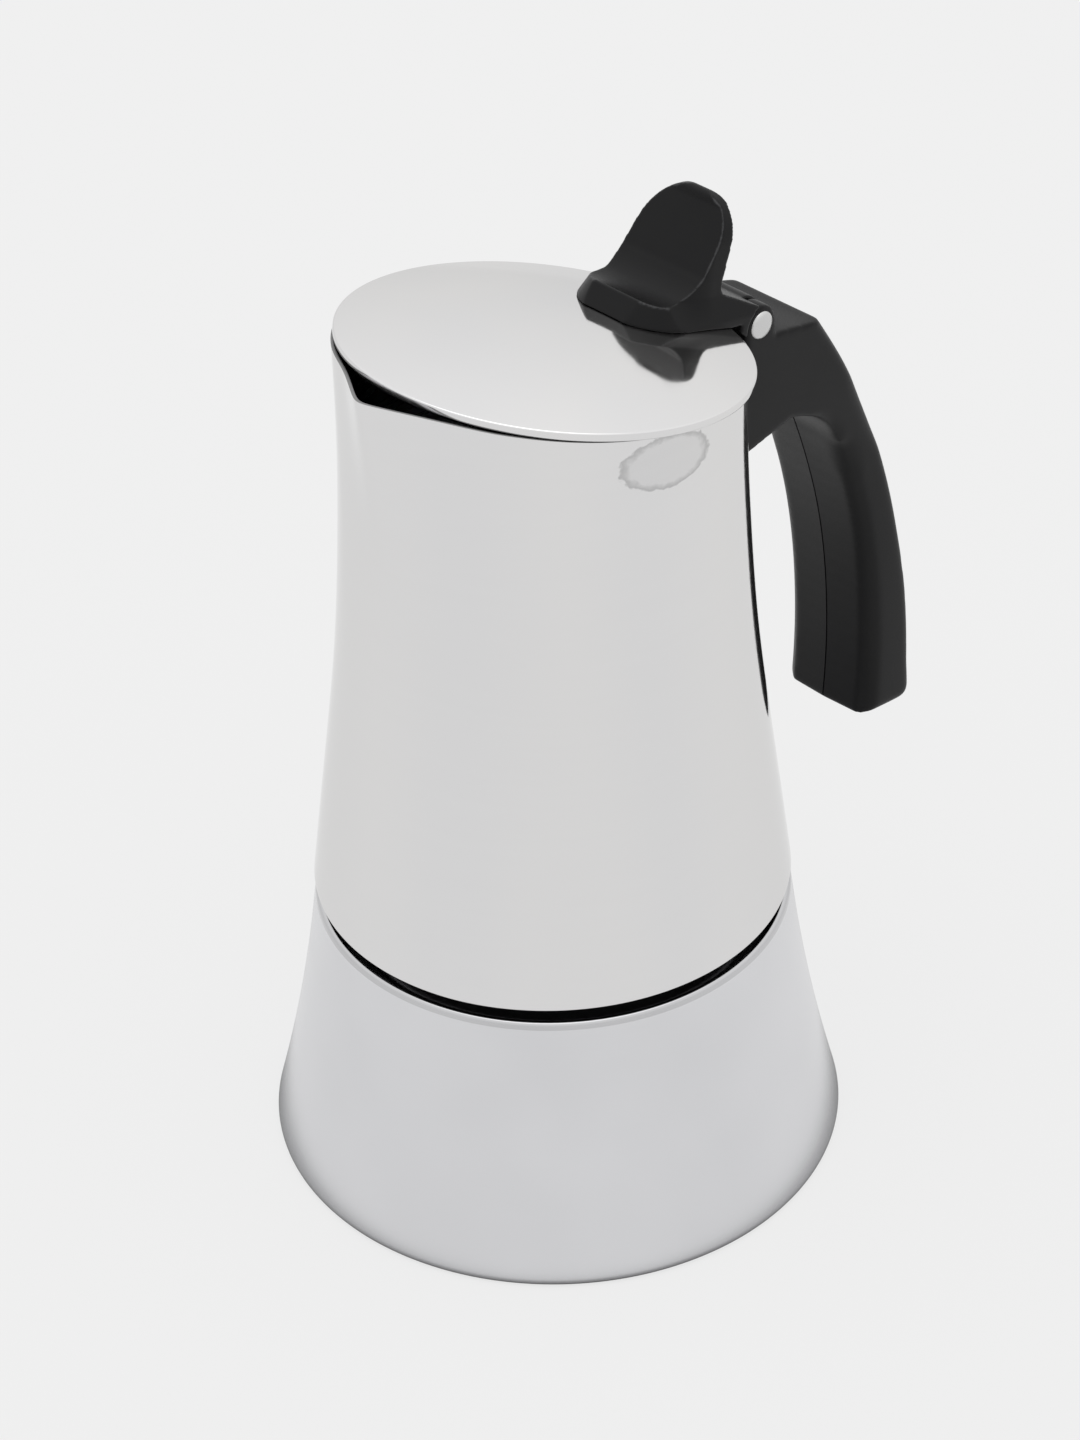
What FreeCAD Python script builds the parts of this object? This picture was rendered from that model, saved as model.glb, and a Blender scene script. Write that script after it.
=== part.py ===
import FreeCAD, Part
import math
import os
from types import SimpleNamespace

import Sketcher

Vector = FreeCAD.Vector
doc = FreeCAD.newDocument("coffee_pot")

# Driving sizes in millimetres and degrees. The origin is the middle of the base on the floor,
# +Z is up, the handle lies toward +X and the pouring beak toward -X.
SIZES = {
    # Boiler: a bell of steel sheet with a rounded shoulder, and a neck ring welded into it.
    "base_radius": 52.6,
    "base_round": 1.1,
    "boiler_wall": 0.8,
    "waist_inset": 6.3,
    "valve_height": 29.6,
    "shoulder_radius": 42.95,
    "shoulder_height": 53.1,
    "shoulder_round": 2.0,
    "neck_radius": 36.0,
    "neck_top": 68.0,
    "neck_wall": 1.4,
    "seam_width": 1.8,
    "bottom_thickness": 1.6,
    "bottom_groove_radius": 30.0,
    "bottom_groove_width": 3.0,
    "bottom_groove_depth": 0.4,
    # Safety valve in the boiler wall, on the +Y side.
    "boss_radius": 7.0,
    "boss_inside": 2.5,
    "boss_outside": 2.0,
    "valve_thread_radius": 4.5,
    "washer_radius": 6.3,
    "washer_thickness": 1.0,
    "valve_flats": 12.0,
    "valve_head_length": 5.5,
    "valve_tail": 1.5,
    "valve_bore": 3.2,
    "valve_cap_thickness": 1.7,
    "stem_hole_radius": 1.6,
    "seat_thickness": 1.2,
    "seat_hole_radius": 1.8,
    "plunger_clearance": 0.3,
    "plunger_head_thickness": 1.2,
    "plunger_tip": 0.7,
    "spring_wire_radius": 0.35,
    "spring_mean_radius": 2.25,
    "spring_turns": 5.0,
    "spring_end_gap": 0.1,
    # Coffee funnel that hangs in the neck.
    "basket_fit": 0.5,
    "basket_wall": 0.7,
    "flange_thickness": 0.8,
    "basket_depth": 22.0,
    "basket_taper": 0.8,
    "ledge_width": 1.8,
    "cone_drop": 6.0,
    "sieve_fit": 0.2,
    "sieve_thickness": 0.6,
    "sieve_hole_radius": 1.0,
    "sieve_hole_pitch": 8.0,
    "stem_radius": 5.0,
    "stem_wall": 0.7,
    "stem_foot_gap": 5.4,
    # Rubber ring and perforated plate under the upper pot.
    "gasket_thickness": 3.0,
    "gasket_gap": 0.5,
    "gasket_hole_radius": 27.0,
    "plate_radius": 29.0,
    "plate_fit": 0.3,
    "plate_thickness": 0.6,
    "plate_rebate": 0.9,
    # Upper pot: a tall waisted shell, its floor, threaded ring and riser.
    "recess_gap": 2.6,
    "pot_wall": 0.7,
    "pot_foot_radius": 42.9,
    "pot_floor_radius": 40.8,
    "pot_hip_radius": 39.2,
    "pot_hip_height": 85.0,
    "pot_body_radius": 36.7,
    "pot_body_height": 106.5,
    "pot_neck_radius": 35.3,
    "pot_neck_height": 128.0,
    "pot_throat_radius": 34.7,
    "pot_throat_height": 144.3,
    "pot_mouth_radius": 34.9,
    "pot_mouth_height": 174.0,
    "rim_height": 161.5,
    "beak_reach": 6.75,
    "beak_foot_half": 3.0,
    "beak_foot_depth": 4.0,
    "beak_lip_start": 33.0,
    "beak_lip_tilt": 16.6,
    "floor_thickness": 0.8,
    "floor_cone_radius": 26.0,
    "floor_cone_rise": 5.0,
    "riser_socket": 3.0,
    "thread_room": 1.2,
    "collar_thickness": 2.0,
    "collar_lift": 6.2,
    "riser_radius": 6.5,
    "riser_wall": 0.8,
    "riser_top": 130.0,
    "cap_wall": 0.7,
    "cap_skirt": 6.0,
    "cap_height": 9.0,
    "cap_flat_radius": 3.5,
    "outlet_width": 6.0,
    "outlet_height": 5.0,
    # Lid: a shallow dome with a hem, tilted down toward the handle.
    "lid_tilt": 11.2,
    "lid_shift": 0.9,
    "lid_gap": 0.3,
    "lid_radius": 35.4,
    "lid_sag": 3.0,
    "lid_sheet": 0.6,
    "hem_height": 1.3,
    "hem_width": 1.4,
    # Thumb lever on the lid, placed along the lid from its middle.
    "knob_front": 12.5,
    "knob_half": 11.6,
    "knob_nose": 9.5,
    "knob_lean": 1.4,
    "knob_lip_height": 5.7,
    "dish_middle_reach": 21.9,
    "dish_middle_height": 6.2,
    "paddle_foot_reach": 26.6,
    "paddle_foot_height": 9.8,
    "paddle_top_reach": 32.0,
    "paddle_top_height": 20.7,
    "paddle_height": 22.5,
    "paddle_thickness": 1.9,
    "paddle_half": 9.3,
    "paddle_shoulder": 14.8,
    "plinth_half": 10.0,
    "plinth_height": 6.0,
    "notch_reach": 31.2,
    "notch_height": 7.2,
    "notch_width": 0.7,
    "arm_top_height": 6.0,
    "arm_start": 36.2,
    "arm_drop": 1.6,
    "arm_slope": 14.5,
    "tongue_width": 13.6,
    "tongue_radius": 3.8,
    "hinge_reach": 41.9,
    "hinge_drop": 1.4,
    "backing_sheet": 0.8,
    "backing_start": 16.5,
    "backing_end": 33.0,
    "backing_half": 5.0,
    "lid_screw_first": 20.5,
    "lid_screw_second": 29.0,
    "lid_screw_radius": 1.5,
    "lid_screw_play": 0.2,
    "lid_screw_length": 4.0,
    "lid_screw_head_radius": 2.8,
    "lid_screw_head_height": 1.7,
    # Hinge pin and handle.
    "pin_radius": 1.6,
    "pin_running_gap": 0.05,
    "pin_head_radius": 2.55,
    "pin_head_height": 0.8,
    "pin_rivet_radius": 2.3,
    "ear_radius": 3.6,
    "ear_gap": 0.4,
    "ear_side_gap": 0.3,
    "handle_width": 22.0,
    "handle_round": 1.8,
    "inside_round": 2.4,
    "inside_crown": 0.9,
    "inside_run": 4.0,
    "saddle_gap": 0.3,
    "arm_face_height": 150.0,
    "arm_front_height": 149.6,
    "crest_reach": 57.6,
    "crest_height": 148.6,
    "grip_middle_reach": 77.7,
    "grip_middle_height": 106.0,
    "grip_end_reach": 84.8,
    "grip_bottom": 54.0,
    "grip_corner": 2.4,
    "grip_thickness": 11.5,
    "inside_middle_reach": 71.6,
    "inside_middle_height": 93.3,
    "arch_end_reach": 63.7,
    "arch_end_height": 118.8,
    "arch_middle_reach": 58.6,
    "arch_middle_height": 126.5,
    "arch_start_reach": 50.0,
    "arch_start_height": 130.9,
    "arm_underside": 127.2,
    "bracket_width": 10.0,
    "bracket_height": 8.0,
    "bracket_level": 136.8,
    "bracket_end": 54.0,
    "bracket_play": 0.2,
    "handle_screw_reach": 46.5,
    "handle_screw_radius": 2.0,
    "handle_screw_play": 0.2,
    "handle_screw_head_radius": 3.6,
    "handle_screw_head_height": 2.4,
    "handle_screw_seat": 133.4,
    "handle_screw_grip": 6.0,
}

sheet = doc.addObject("Spreadsheet::Sheet", "sizes")
for row, (alias, number) in enumerate(SIZES.items(), start=1):
    sheet.set(f"A{row}", alias)
    sheet.set(f"B{row}", str(number))
    sheet.setAlias(f"B{row}", alias)
doc.recompute()


class Size:
    """A number from the sheet with the expression that keeps it tied to the sheet."""

    def __init__(self, text, value):
        self.text = text
        self.value = value

    def joined(self, sign, other, value, turned=False):
        first, second = (other, self) if turned else (self, other)
        return Size(f"({first.text} {sign} {second.text})", value)

    def __add__(self, other):
        other = as_size(other)
        return self.joined("+", other, self.value + other.value)

    def __sub__(self, other):
        other = as_size(other)
        return self.joined("-", other, self.value - other.value)

    def __rsub__(self, other):
        other = as_size(other)
        return self.joined("-", other, other.value - self.value, turned=True)

    def __mul__(self, other):
        other = as_size(other)
        return self.joined("*", other, self.value * other.value)

    def __truediv__(self, other):
        other = as_size(other)
        return self.joined("/", other, self.value / other.value)

    def __neg__(self):
        return Size(f"(0 - {self.text})", -self.value)

    __radd__ = __add__
    __rmul__ = __mul__


def as_size(item):
    return item if isinstance(item, Size) else Size(f"{item:.9g}", float(item))


def root(size):
    return Size(f"sqrt({size.text})", math.sqrt(size.value))


def cosine(angle):
    return Size(f"cos({angle.text})", math.cos(math.radians(angle.value)))


def sine(angle):
    return Size(f"sin({angle.text})", math.sin(math.radians(angle.value)))


def tangent(angle):
    return sine(angle) / cosine(angle)


S = SimpleNamespace(**{alias: Size(f"sizes.{alias}", float(sheet.get(alias))) for alias in SIZES})


def bind(item, path, size):
    item.setExpression(path, as_size(size).text)


def place(item, x=0, y=0, z=0):
    """Tie the position of an object to the sheet."""
    for axis, size in (("x", x), ("y", y), ("z", z)):
        bind(item, f"Placement.Base.{axis}", size)


def sketch_on(body, name, role, lift=0):
    sketch = body.newObject("Sketcher::SketchObject", name)
    plane = next(item for item in body.Origin.OriginFeatures if item.Role == role)
    sketch.AttachmentSupport = (plane, [""])
    sketch.MapMode = "FlatFace"
    bind(sketch, "AttachmentOffset.Base.z", lift)
    return sketch


def flat(corner):
    return Vector(as_size(corner[0]).value, as_size(corner[1]).value, 0)


def fix_point(sketch, geometry, end, corner):
    for kind, item in (("DistanceX", corner[0]), ("DistanceY", corner[1])):
        size = as_size(item)
        index = sketch.addConstraint(Sketcher.Constraint(kind, -1, 1, geometry, end, size.value))
        sketch.setExpression(f"Constraints[{index}]", size.text)


def circle_through(first, middle, last):
    """Centre of the circle through three points of a sketch."""
    a, b = middle - first, last - first
    cross = 2 * (a.x * b.y - a.y * b.x)
    x = (b.y * a.dot(a) - a.y * b.dot(b)) / cross
    y = (a.x * b.dot(b) - b.x * a.dot(a)) / cross
    return first + Vector(x, y, 0), cross > 0


def edge_between(sketch, start, end, via):
    """Add a line, or an arc through the point via; give its index and its two ends in order."""
    a, b = flat(start), flat(end)
    if via is None:
        return sketch.addGeometry(Part.LineSegment(a, b), False), 1, 2
    middle, left_turn = circle_through(a, flat(via), b)
    angles = [math.atan2(point.y - middle.y, point.x - middle.x) for point in (a, b)]
    if not left_turn:
        angles.reverse()
    if angles[1] < angles[0]:
        angles[1] += 2 * math.pi
    circle = Part.Circle(middle, Vector(0, 0, 1), (a - middle).Length)
    index = sketch.addGeometry(Part.ArcOfCircle(circle, *angles), False)
    return (index, 1, 2) if left_turn else (index, 2, 1)


def draw(sketch, corners, closed=True):
    """Draw a line through corners (x, y); a third item is a point that an arc to the corner passes."""
    edges = []
    first = 0 if closed else 1
    for number in range(first, len(corners)):
        start, end = corners[number - 1], corners[number]
        via = end[2] if len(end) > 2 else None
        edges.append((edge_between(sketch, start, end, via), start, end, via))
    for number, ((index, begin, finish), start, end, via) in enumerate(edges):
        fix_point(sketch, index, begin, start)
        if closed or number + 1 < len(edges):
            following = edges[(number + 1) % len(edges)][0]
            sketch.addConstraint(Sketcher.Constraint("Coincident", index, finish, following[0], following[1]))
        else:
            fix_point(sketch, index, finish, end)
        if via is not None:
            mark = sketch.addGeometry(Part.Point(flat(via)), True)
            fix_point(sketch, mark, 1, via)
            sketch.addConstraint(Sketcher.Constraint("PointOnObject", mark, 1, index))
    return sketch


def draw_circle(sketch, x, y, radius):
    middle = Vector(as_size(x).value, as_size(y).value, 0)
    circle = sketch.addGeometry(Part.Circle(middle, Vector(0, 0, 1), as_size(radius).value), False)
    fix_point(sketch, circle, 3, (x, y))
    index = sketch.addConstraint(Sketcher.Constraint("Radius", circle, as_size(radius).value))
    sketch.setExpression(f"Constraints[{index}]", as_size(radius).text)
    return sketch


def new_body(name):
    return doc.addObject("PartDesign::Body", name)


def turned(name, corners):
    """A body turned about the Z axis from a half section of (radius, height) corners."""
    body = new_body(name)
    sketch = draw(sketch_on(body, name + "_section", "XZ_Plane"), corners)
    feature = body.newObject("PartDesign::Revolution", name + "_turn")
    feature.Profile = sketch
    feature.ReferenceAxis = (sketch, ["V_Axis"])
    feature.Angle = 360
    return body


def pad(body, name, sketch, length, symmetric=False):
    feature = body.newObject("PartDesign::Pad", name)
    feature.Profile = sketch
    feature.SideType = "Symmetric" if symmetric else "One side"
    bind(feature, "Length", length)
    return feature


def slab(name, role, corners, length):
    """A body padded evenly to both sides of an origin plane."""
    body = new_body(name)
    pad(body, name + "_pad", draw(sketch_on(body, name + "_outline", role), corners), length, symmetric=True)
    return body


def cylinder(name, radius, height, x=0, y=0, z=0, axis="Z"):
    item = doc.addObject("Part::Cylinder", name)
    bind(item, "Radius", radius)
    bind(item, "Height", height)
    if axis == "Y":
        item.Placement = FreeCAD.Placement(Vector(0, 0, 0), FreeCAD.Rotation(Vector(1, 0, 0), -90))
    place(item, x, y, z)
    return item


def block(name, low, high):
    item = doc.addObject("Part::Box", name)
    for side, start, stop in zip(("Length", "Width", "Height"), low, high):
        bind(item, side, as_size(stop) - start)
    place(item, *low)
    return item


def fuse(name, pieces):
    item = doc.addObject("Part::MultiFuse", name)
    item.Shapes = pieces
    return item


def cut(name, base, tools):
    item = doc.addObject("Part::Cut", name)
    item.Base = base
    item.Tool = tools[0] if len(tools) == 1 else fuse(name + "_tools", tools)
    return item


def common(name, pieces):
    item = doc.addObject("Part::MultiCommon", name)
    item.Shapes = pieces
    return item


def corner_arc(x, y, x_middle, y_middle, x_reach, y_reach):
    """A sketch corner reached by a rounded quarter with the given middle and signed reaches."""
    swing = math.sqrt(0.5)
    return x, y, (x_middle + x_reach * swing, y_middle + y_reach * swing)


nodes = {}

# Boiler shell
waist_radius = S.base_radius - S.waist_inset
base_flat = S.base_radius - S.base_round
seam_radius = base_flat - S.seam_width
shoulder_flat = S.shoulder_radius - S.shoulder_round
shoulder_side = S.shoulder_height - S.shoulder_round
shoulder_inner = S.shoulder_round - S.boiler_wall
base_inner = S.base_round - S.boiler_wall
shoulder_under = S.shoulder_height - S.boiler_wall
neck_inside = S.neck_radius - S.neck_wall
bell = turned("bell", [
    (seam_radius, 0),
    (base_flat, 0),
    corner_arc(S.base_radius, S.base_round, base_flat, S.base_round, S.base_round, -S.base_round),
    (S.shoulder_radius, shoulder_side, (waist_radius, S.valve_height)),
    corner_arc(shoulder_flat, S.shoulder_height, shoulder_flat, shoulder_side,
               S.shoulder_round, S.shoulder_round),
    (S.neck_radius, S.shoulder_height),
    (S.neck_radius, shoulder_under),
    (shoulder_flat, shoulder_under),
    corner_arc(S.shoulder_radius - S.boiler_wall, shoulder_side, shoulder_flat, shoulder_side,
               shoulder_inner, shoulder_inner),
    (S.base_radius - S.boiler_wall, S.base_round, (waist_radius - S.boiler_wall, S.valve_height)),
    corner_arc(base_flat, S.boiler_wall, base_flat, S.base_round, base_inner, -base_inner),
    (seam_radius, S.boiler_wall),
])
boss_start = waist_radius - S.boss_inside - S.boiler_wall
boss_end = waist_radius + S.boss_outside
boss_opening = cylinder("boss_opening", S.boss_radius, boss_end - boss_start,
                        y=boss_start, z=S.valve_height, axis="Y")
nodes["boiler_shell"] = cut("boiler_cut", bell, [boss_opening])

# Boiler bottom, a thick disc with a pressed ring groove beneath
groove_low = S.bottom_groove_radius - S.bottom_groove_width / 2
groove_high = S.bottom_groove_radius + S.bottom_groove_width / 2
nodes["boiler_bottom"] = turned("bottom", [
    (0, 0),
    (groove_low, 0),
    (groove_low + S.bottom_groove_depth, S.bottom_groove_depth),
    (groove_high - S.bottom_groove_depth, S.bottom_groove_depth),
    (groove_high, 0),
    (seam_radius, 0),
    (seam_radius, S.bottom_thickness),
    (0, S.bottom_thickness),
])


def along_valve(body):
    """Lay a piece turned about Z along the valve axis, with its zero at the boiler wall."""
    body.Placement = FreeCAD.Placement(Vector(0, 0, 0), FreeCAD.Rotation(Vector(1, 0, 0), -90))
    place(body, y=waist_radius, z=S.valve_height)
    return body


def ring(name, inner, outer, low, high):
    return turned(name, [(inner, low), (outer, low), (outer, high), (inner, high)])


# Neck ring, welded into the opening of the shoulder
nodes["boiler_neck"] = ring("neck", neck_inside, S.neck_radius, shoulder_under, S.neck_top)

# Safety valve: bush, washer, body, seat and plunger share one axis
washer_end = S.boss_outside + S.washer_thickness
valve_end = washer_end + S.valve_head_length
valve_start = -(S.boss_inside + S.boiler_wall + S.valve_tail)
spring_stop = valve_end - S.valve_cap_thickness
seat_face = valve_start + S.seat_thickness
plunger_back = seat_face + S.plunger_head_thickness
nodes["valve_boss"] = along_valve(
    ring("boss", S.valve_thread_radius, S.boss_radius, -(S.boss_inside + S.boiler_wall), S.boss_outside))
nodes["valve_washer"] = along_valve(
    ring("washer", S.valve_thread_radius, S.washer_radius, S.boss_outside, washer_end))

hexagon = new_body("valve_hexagon")
corner_radius = S.valve_flats / math.sqrt(3)
hexagon_corners = [(corner_radius * math.cos(math.radians(60 * turn)),
                    corner_radius * math.sin(math.radians(60 * turn))) for turn in range(6)]
pad(hexagon, "valve_hexagon_pad",
    draw(sketch_on(hexagon, "valve_hexagon_outline", "XY_Plane", washer_end), hexagon_corners),
    S.valve_head_length)
shank = cylinder("valve_shank", S.valve_thread_radius, washer_end - valve_start, z=valve_start)
bore = cylinder("valve_bore_tool", S.valve_bore, spring_stop - valve_start, z=valve_start)
stem_hole = cylinder("valve_stem_hole", S.stem_hole_radius, valve_end - valve_start, z=valve_start)
valve_blank = fuse("valve_blank", [hexagon, shank])
nodes["valve_body"] = along_valve(cut("valve_turned", valve_blank, [bore, stem_hole]))
nodes["valve_seat"] = along_valve(ring("seat", S.seat_hole_radius, S.valve_bore, valve_start, seat_face))
plunger_radius = S.valve_bore - S.plunger_clearance
plunger_stem = S.stem_hole_radius - S.plunger_clearance
nodes["valve_plunger"] = along_valve(turned("plunger", [
    (0, seat_face),
    (plunger_radius, seat_face),
    (plunger_radius, plunger_back),
    (plunger_stem, plunger_back),
    (plunger_stem, valve_end + S.plunger_tip),
    (0, valve_end + S.plunger_tip),
]))


def biarc(start, start_way, end, end_way):
    """Two arcs that join two points and keep the given directions."""
    step = end - start
    ways = start_way + end_way
    spread = 2 * (1 - start_way.dot(end_way))
    reach = (math.sqrt(step.dot(ways) ** 2 + spread * step.dot(step)) - step.dot(ways)) / spread
    knees = (start + start_way * reach, end - end_way * reach)
    meeting = (knees[0] + knees[1]) * 0.5
    arcs = []
    for first, knee, last in ((start, knees[0], meeting), (meeting, knees[1], end)):
        chord_middle = (first + last) * 0.5
        half = (last - first).Length / 2
        rise = knee - chord_middle
        swing = math.atan2(rise.Length, half)
        arcs.append(Part.Arc(first, chord_middle + rise.normalize() * (half * math.tan(swing / 2)), last))
    return arcs


def coil(wire, radius, turns, low, high):
    """A spring of round wire with short straight ends, and its least gap to itself."""
    quarters = round(4 * turns)
    rise = (high - low) / quarters
    slope = rise / (math.pi / 2)

    def point(number):
        angle = number * math.pi / 2
        return Vector(radius * math.cos(angle), radius * math.sin(angle), low + rise * number)

    def way(number):
        angle = number * math.pi / 2
        return Vector(-radius * math.sin(angle), radius * math.cos(angle), slope).normalize()

    lead = 2 * wire
    curves = [Part.LineSegment(point(0) - way(0) * lead, point(0))]
    for number in range(quarters):
        curves += biarc(point(number), way(number), point(number + 1), way(number + 1))
    curves.append(Part.LineSegment(point(quarters), point(quarters) + way(quarters) * lead))
    path = Part.Wire([curve.toShape() for curve in curves])
    start = point(0) - way(0) * lead
    section = Part.Wire([Part.Circle(start, way(0), wire).toShape()])
    shape = path.makePipeShell([section], True, False)
    spots = path.discretize(Number=60 * quarters)
    spacing = path.Length / len(spots)
    apart = int(math.pi * radius / spacing)
    gap = min((spots[i] - spots[j]).Length for i in range(len(spots)) for j in range(i + apart, len(spots)))
    return shape, gap - 2 * wire


spring_low = plunger_back.value + S.spring_wire_radius.value + S.spring_end_gap.value
spring_high = spring_stop.value - S.spring_wire_radius.value - S.spring_end_gap.value
spring_shape, spring_gap = coil(S.spring_wire_radius.value, S.spring_mean_radius.value,
                                S.spring_turns.value, spring_low, spring_high)
print(f"least gap between the spring's curls {spring_gap:.2f} mm")
spring = doc.addObject("Part::Feature", "spring")
spring.Shape = spring_shape
nodes["valve_spring"] = along_valve(spring)

# Coffee funnel: cup with flange, perforated disc and pipe
cup_radius = neck_inside - S.basket_fit
cup_foot = cup_radius - S.basket_taper
ledge = S.neck_top - S.basket_depth
ledge_radius = cup_foot - S.basket_wall - S.ledge_width
flange_top = S.neck_top + S.flange_thickness
nodes["basket_cup"] = turned("cup", [
    (S.neck_radius, S.neck_top),
    (S.neck_radius, flange_top),
    (cup_radius - S.basket_wall, flange_top),
    (cup_foot - S.basket_wall, ledge),
    (ledge_radius, ledge),
    (S.stem_radius, ledge - S.cone_drop),
    (S.stem_radius, ledge - S.cone_drop - S.basket_wall),
    (ledge_radius, ledge - S.basket_wall),
    (cup_foot, ledge - S.basket_wall),
    (cup_radius, S.neck_top),
])
nodes["funnel_stem"] = ring("stem", S.stem_radius - S.stem_wall, S.stem_radius,
                            S.bottom_thickness + S.stem_foot_gap, ledge - S.cone_drop)


def perforated(name, radius, low, thickness, hole, pitch, rings):
    """A round plate with a middle hole and rings of six, twelve and more holes."""
    body = new_body(name)
    pad(body, name + "_disc", draw_circle(sketch_on(body, name + "_round", "XY_Plane", low), 0, 0, radius),
        thickness)
    axis = next(item for item in body.Origin.OriginFeatures if item.Role == "Z_Axis")
    for number in range(rings + 1):
        sketch = sketch_on(body, f"{name}_hole_{number}", "XY_Plane", low)
        draw_circle(sketch, pitch * number, 0, hole)
        pocket = body.newObject("PartDesign::Pocket", f"{name}_pocket_{number}")
        pocket.Profile = sketch
        pocket.Reversed = True
        bind(pocket, "Length", thickness)
        if number:
            pattern = body.newObject("PartDesign::PolarPattern", f"{name}_ring_{number}")
            pattern.Originals = [pocket]
            pattern.Axis = (axis, [""])
            pattern.Angle = 360
            pattern.Occurrences = 6 * number
            body.Tip = pattern
    return body


nodes["basket_sieve"] = perforated("sieve", cup_foot - S.basket_wall - S.sieve_fit, ledge, S.sieve_thickness,
                                   S.sieve_hole_radius, S.sieve_hole_pitch, 3)

# Rubber ring and the perforated plate it holds
gasket_top = flange_top + S.gasket_thickness
collar_inside = S.neck_radius + S.thread_room
plate_low = gasket_top - S.plate_rebate
nodes["gasket"] = turned("seal", [
    (S.gasket_hole_radius, flange_top),
    (collar_inside - S.gasket_gap, flange_top),
    (collar_inside - S.gasket_gap, gasket_top),
    (S.plate_radius + S.plate_fit, gasket_top),
    (S.plate_radius + S.plate_fit, plate_low),
    (S.gasket_hole_radius, plate_low),
])
nodes["filter_plate"] = perforated("filter", S.plate_radius, plate_low, S.plate_thickness,
                                   S.sieve_hole_radius, S.sieve_hole_pitch, 3)

# Upper pot shell: the outer form less the same form one wall thickness smaller
pot_foot = S.shoulder_height + S.recess_gap
floor_top = gasket_top + S.floor_thickness


def pot_form(name, inset):
    """The waisted form with its beak, drawn in by the inset."""
    waisted = turned(name + "_waisted", [
        (0, pot_foot),
        (S.pot_foot_radius - inset, pot_foot),
        (S.pot_hip_radius - inset, S.pot_hip_height, (S.pot_floor_radius - inset, floor_top)),
        (S.pot_neck_radius - inset, S.pot_neck_height, (S.pot_body_radius - inset, S.pot_body_height)),
        (S.pot_mouth_radius - inset, S.pot_mouth_height, (S.pot_throat_radius - inset, S.pot_throat_height)),
        (0, S.pot_mouth_height),
    ])
    mouth = S.pot_mouth_radius - inset
    tip = mouth + S.beak_reach
    touch = mouth * mouth / tip
    touch_half = mouth * root(1 - mouth * mouth / (tip * tip))
    foot = S.pot_body_radius - inset
    beak = new_body(name + "_beak")
    lower = draw(sketch_on(beak, name + "_beak_foot", "XY_Plane", S.pot_body_height), [
        (-foot, 0),
        (S.beak_foot_depth - foot, -S.beak_foot_half),
        (S.beak_foot_depth - foot, S.beak_foot_half),
    ])
    upper = draw(sketch_on(beak, name + "_beak_mouth", "XY_Plane", S.pot_mouth_height), [
        (-tip, 0),
        (-touch, -touch_half),
        (-touch, touch_half),
    ])
    loft = beak.newObject("PartDesign::AdditiveLoft", name + "_beak_loft")
    loft.Profile = lower
    loft.Sections = [upper]
    loft.Ruled = True
    return fuse(name, [waisted, beak])


pot_outside = pot_form("pot_outside", as_size(0))
pot_inside = pot_form("pot_inside", S.pot_wall)


def rim(x):
    """Height of the sloping rim at a place along the pot."""
    return S.rim_height - x * tangent(S.lid_tilt)


far = 2 * S.base_radius
lip_start = -S.beak_lip_start
above_rim = slab("above_rim", "XZ_Plane", [
    (far, rim(far)),
    (far, far + S.rim_height),
    (-far, far + S.rim_height),
    (-far, rim(lip_start) + (far - S.beak_lip_start) * tangent(S.beak_lip_tilt)),
    (lip_start, rim(lip_start)),
], 2 * far)
nodes["pot_shell"] = cut("pot_cut", pot_outside, [pot_inside, above_rim])

# Pot floor with the socket for the riser, threaded ring below, riser and its cap
socket_low = floor_top + S.floor_cone_rise
riser_low = socket_low - S.floor_thickness
nodes["pot_floor"] = turned("floor", [
    (S.pot_floor_radius - S.pot_wall, gasket_top),
    (S.pot_floor_radius - S.pot_wall, floor_top),
    (S.floor_cone_radius, floor_top),
    (S.riser_radius + S.floor_thickness, socket_low),
    (S.riser_radius + S.floor_thickness, socket_low + S.riser_socket),
    (S.riser_radius, socket_low + S.riser_socket),
    (S.riser_radius, riser_low),
    (S.floor_cone_radius, gasket_top),
])
nodes["pot_collar"] = ring("collar", collar_inside, collar_inside + S.collar_thickness,
                           S.shoulder_height + S.collar_lift, gasket_top)
nodes["riser_tube"] = ring("riser", S.riser_radius - S.riser_wall, S.riser_radius, riser_low, S.riser_top)
cap_top = S.riser_top + S.cap_height
cap_side = cap_top - S.cap_height / 4
cap_blank = turned("cap_blank", [
    (S.riser_radius, S.riser_top - S.cap_skirt),
    (S.riser_radius + S.cap_wall, S.riser_top - S.cap_skirt),
    (S.riser_radius + S.cap_wall, cap_side),
    (S.cap_flat_radius + S.cap_wall, cap_top),
    (0, cap_top),
    (0, cap_top - S.cap_wall),
    (S.cap_flat_radius, cap_top - S.cap_wall),
    (S.riser_radius, cap_side - S.cap_wall),
])
outlet_reach = 2 * S.riser_radius
outlet = block("outlet", (-outlet_reach, -(S.outlet_width / 2), S.riser_top + S.cap_wall),
               (outlet_reach, S.outlet_width / 2, S.riser_top + S.cap_wall + S.outlet_height))
nodes["riser_cap"] = cut("cap_cut", cap_blank, [outlet])

# Lid and the pieces on it, drawn level about the lid's middle and then tilted together
lid_rise = S.lid_gap + S.hem_height
lid_x = S.lid_shift * cosine(S.lid_tilt) + lid_rise * sine(S.lid_tilt)
lid_z = S.rim_height - S.lid_shift * sine(S.lid_tilt) + lid_rise * cosine(S.lid_tilt)
hinge_x = lid_x + S.hinge_reach * cosine(S.lid_tilt) - S.hinge_drop * sine(S.lid_tilt)
hinge_z = lid_z - S.hinge_reach * sine(S.lid_tilt) - S.hinge_drop * cosine(S.lid_tilt)
dome_radius = (S.lid_radius * S.lid_radius + S.lid_sag * S.lid_sag) / (2 * S.lid_sag)


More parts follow.
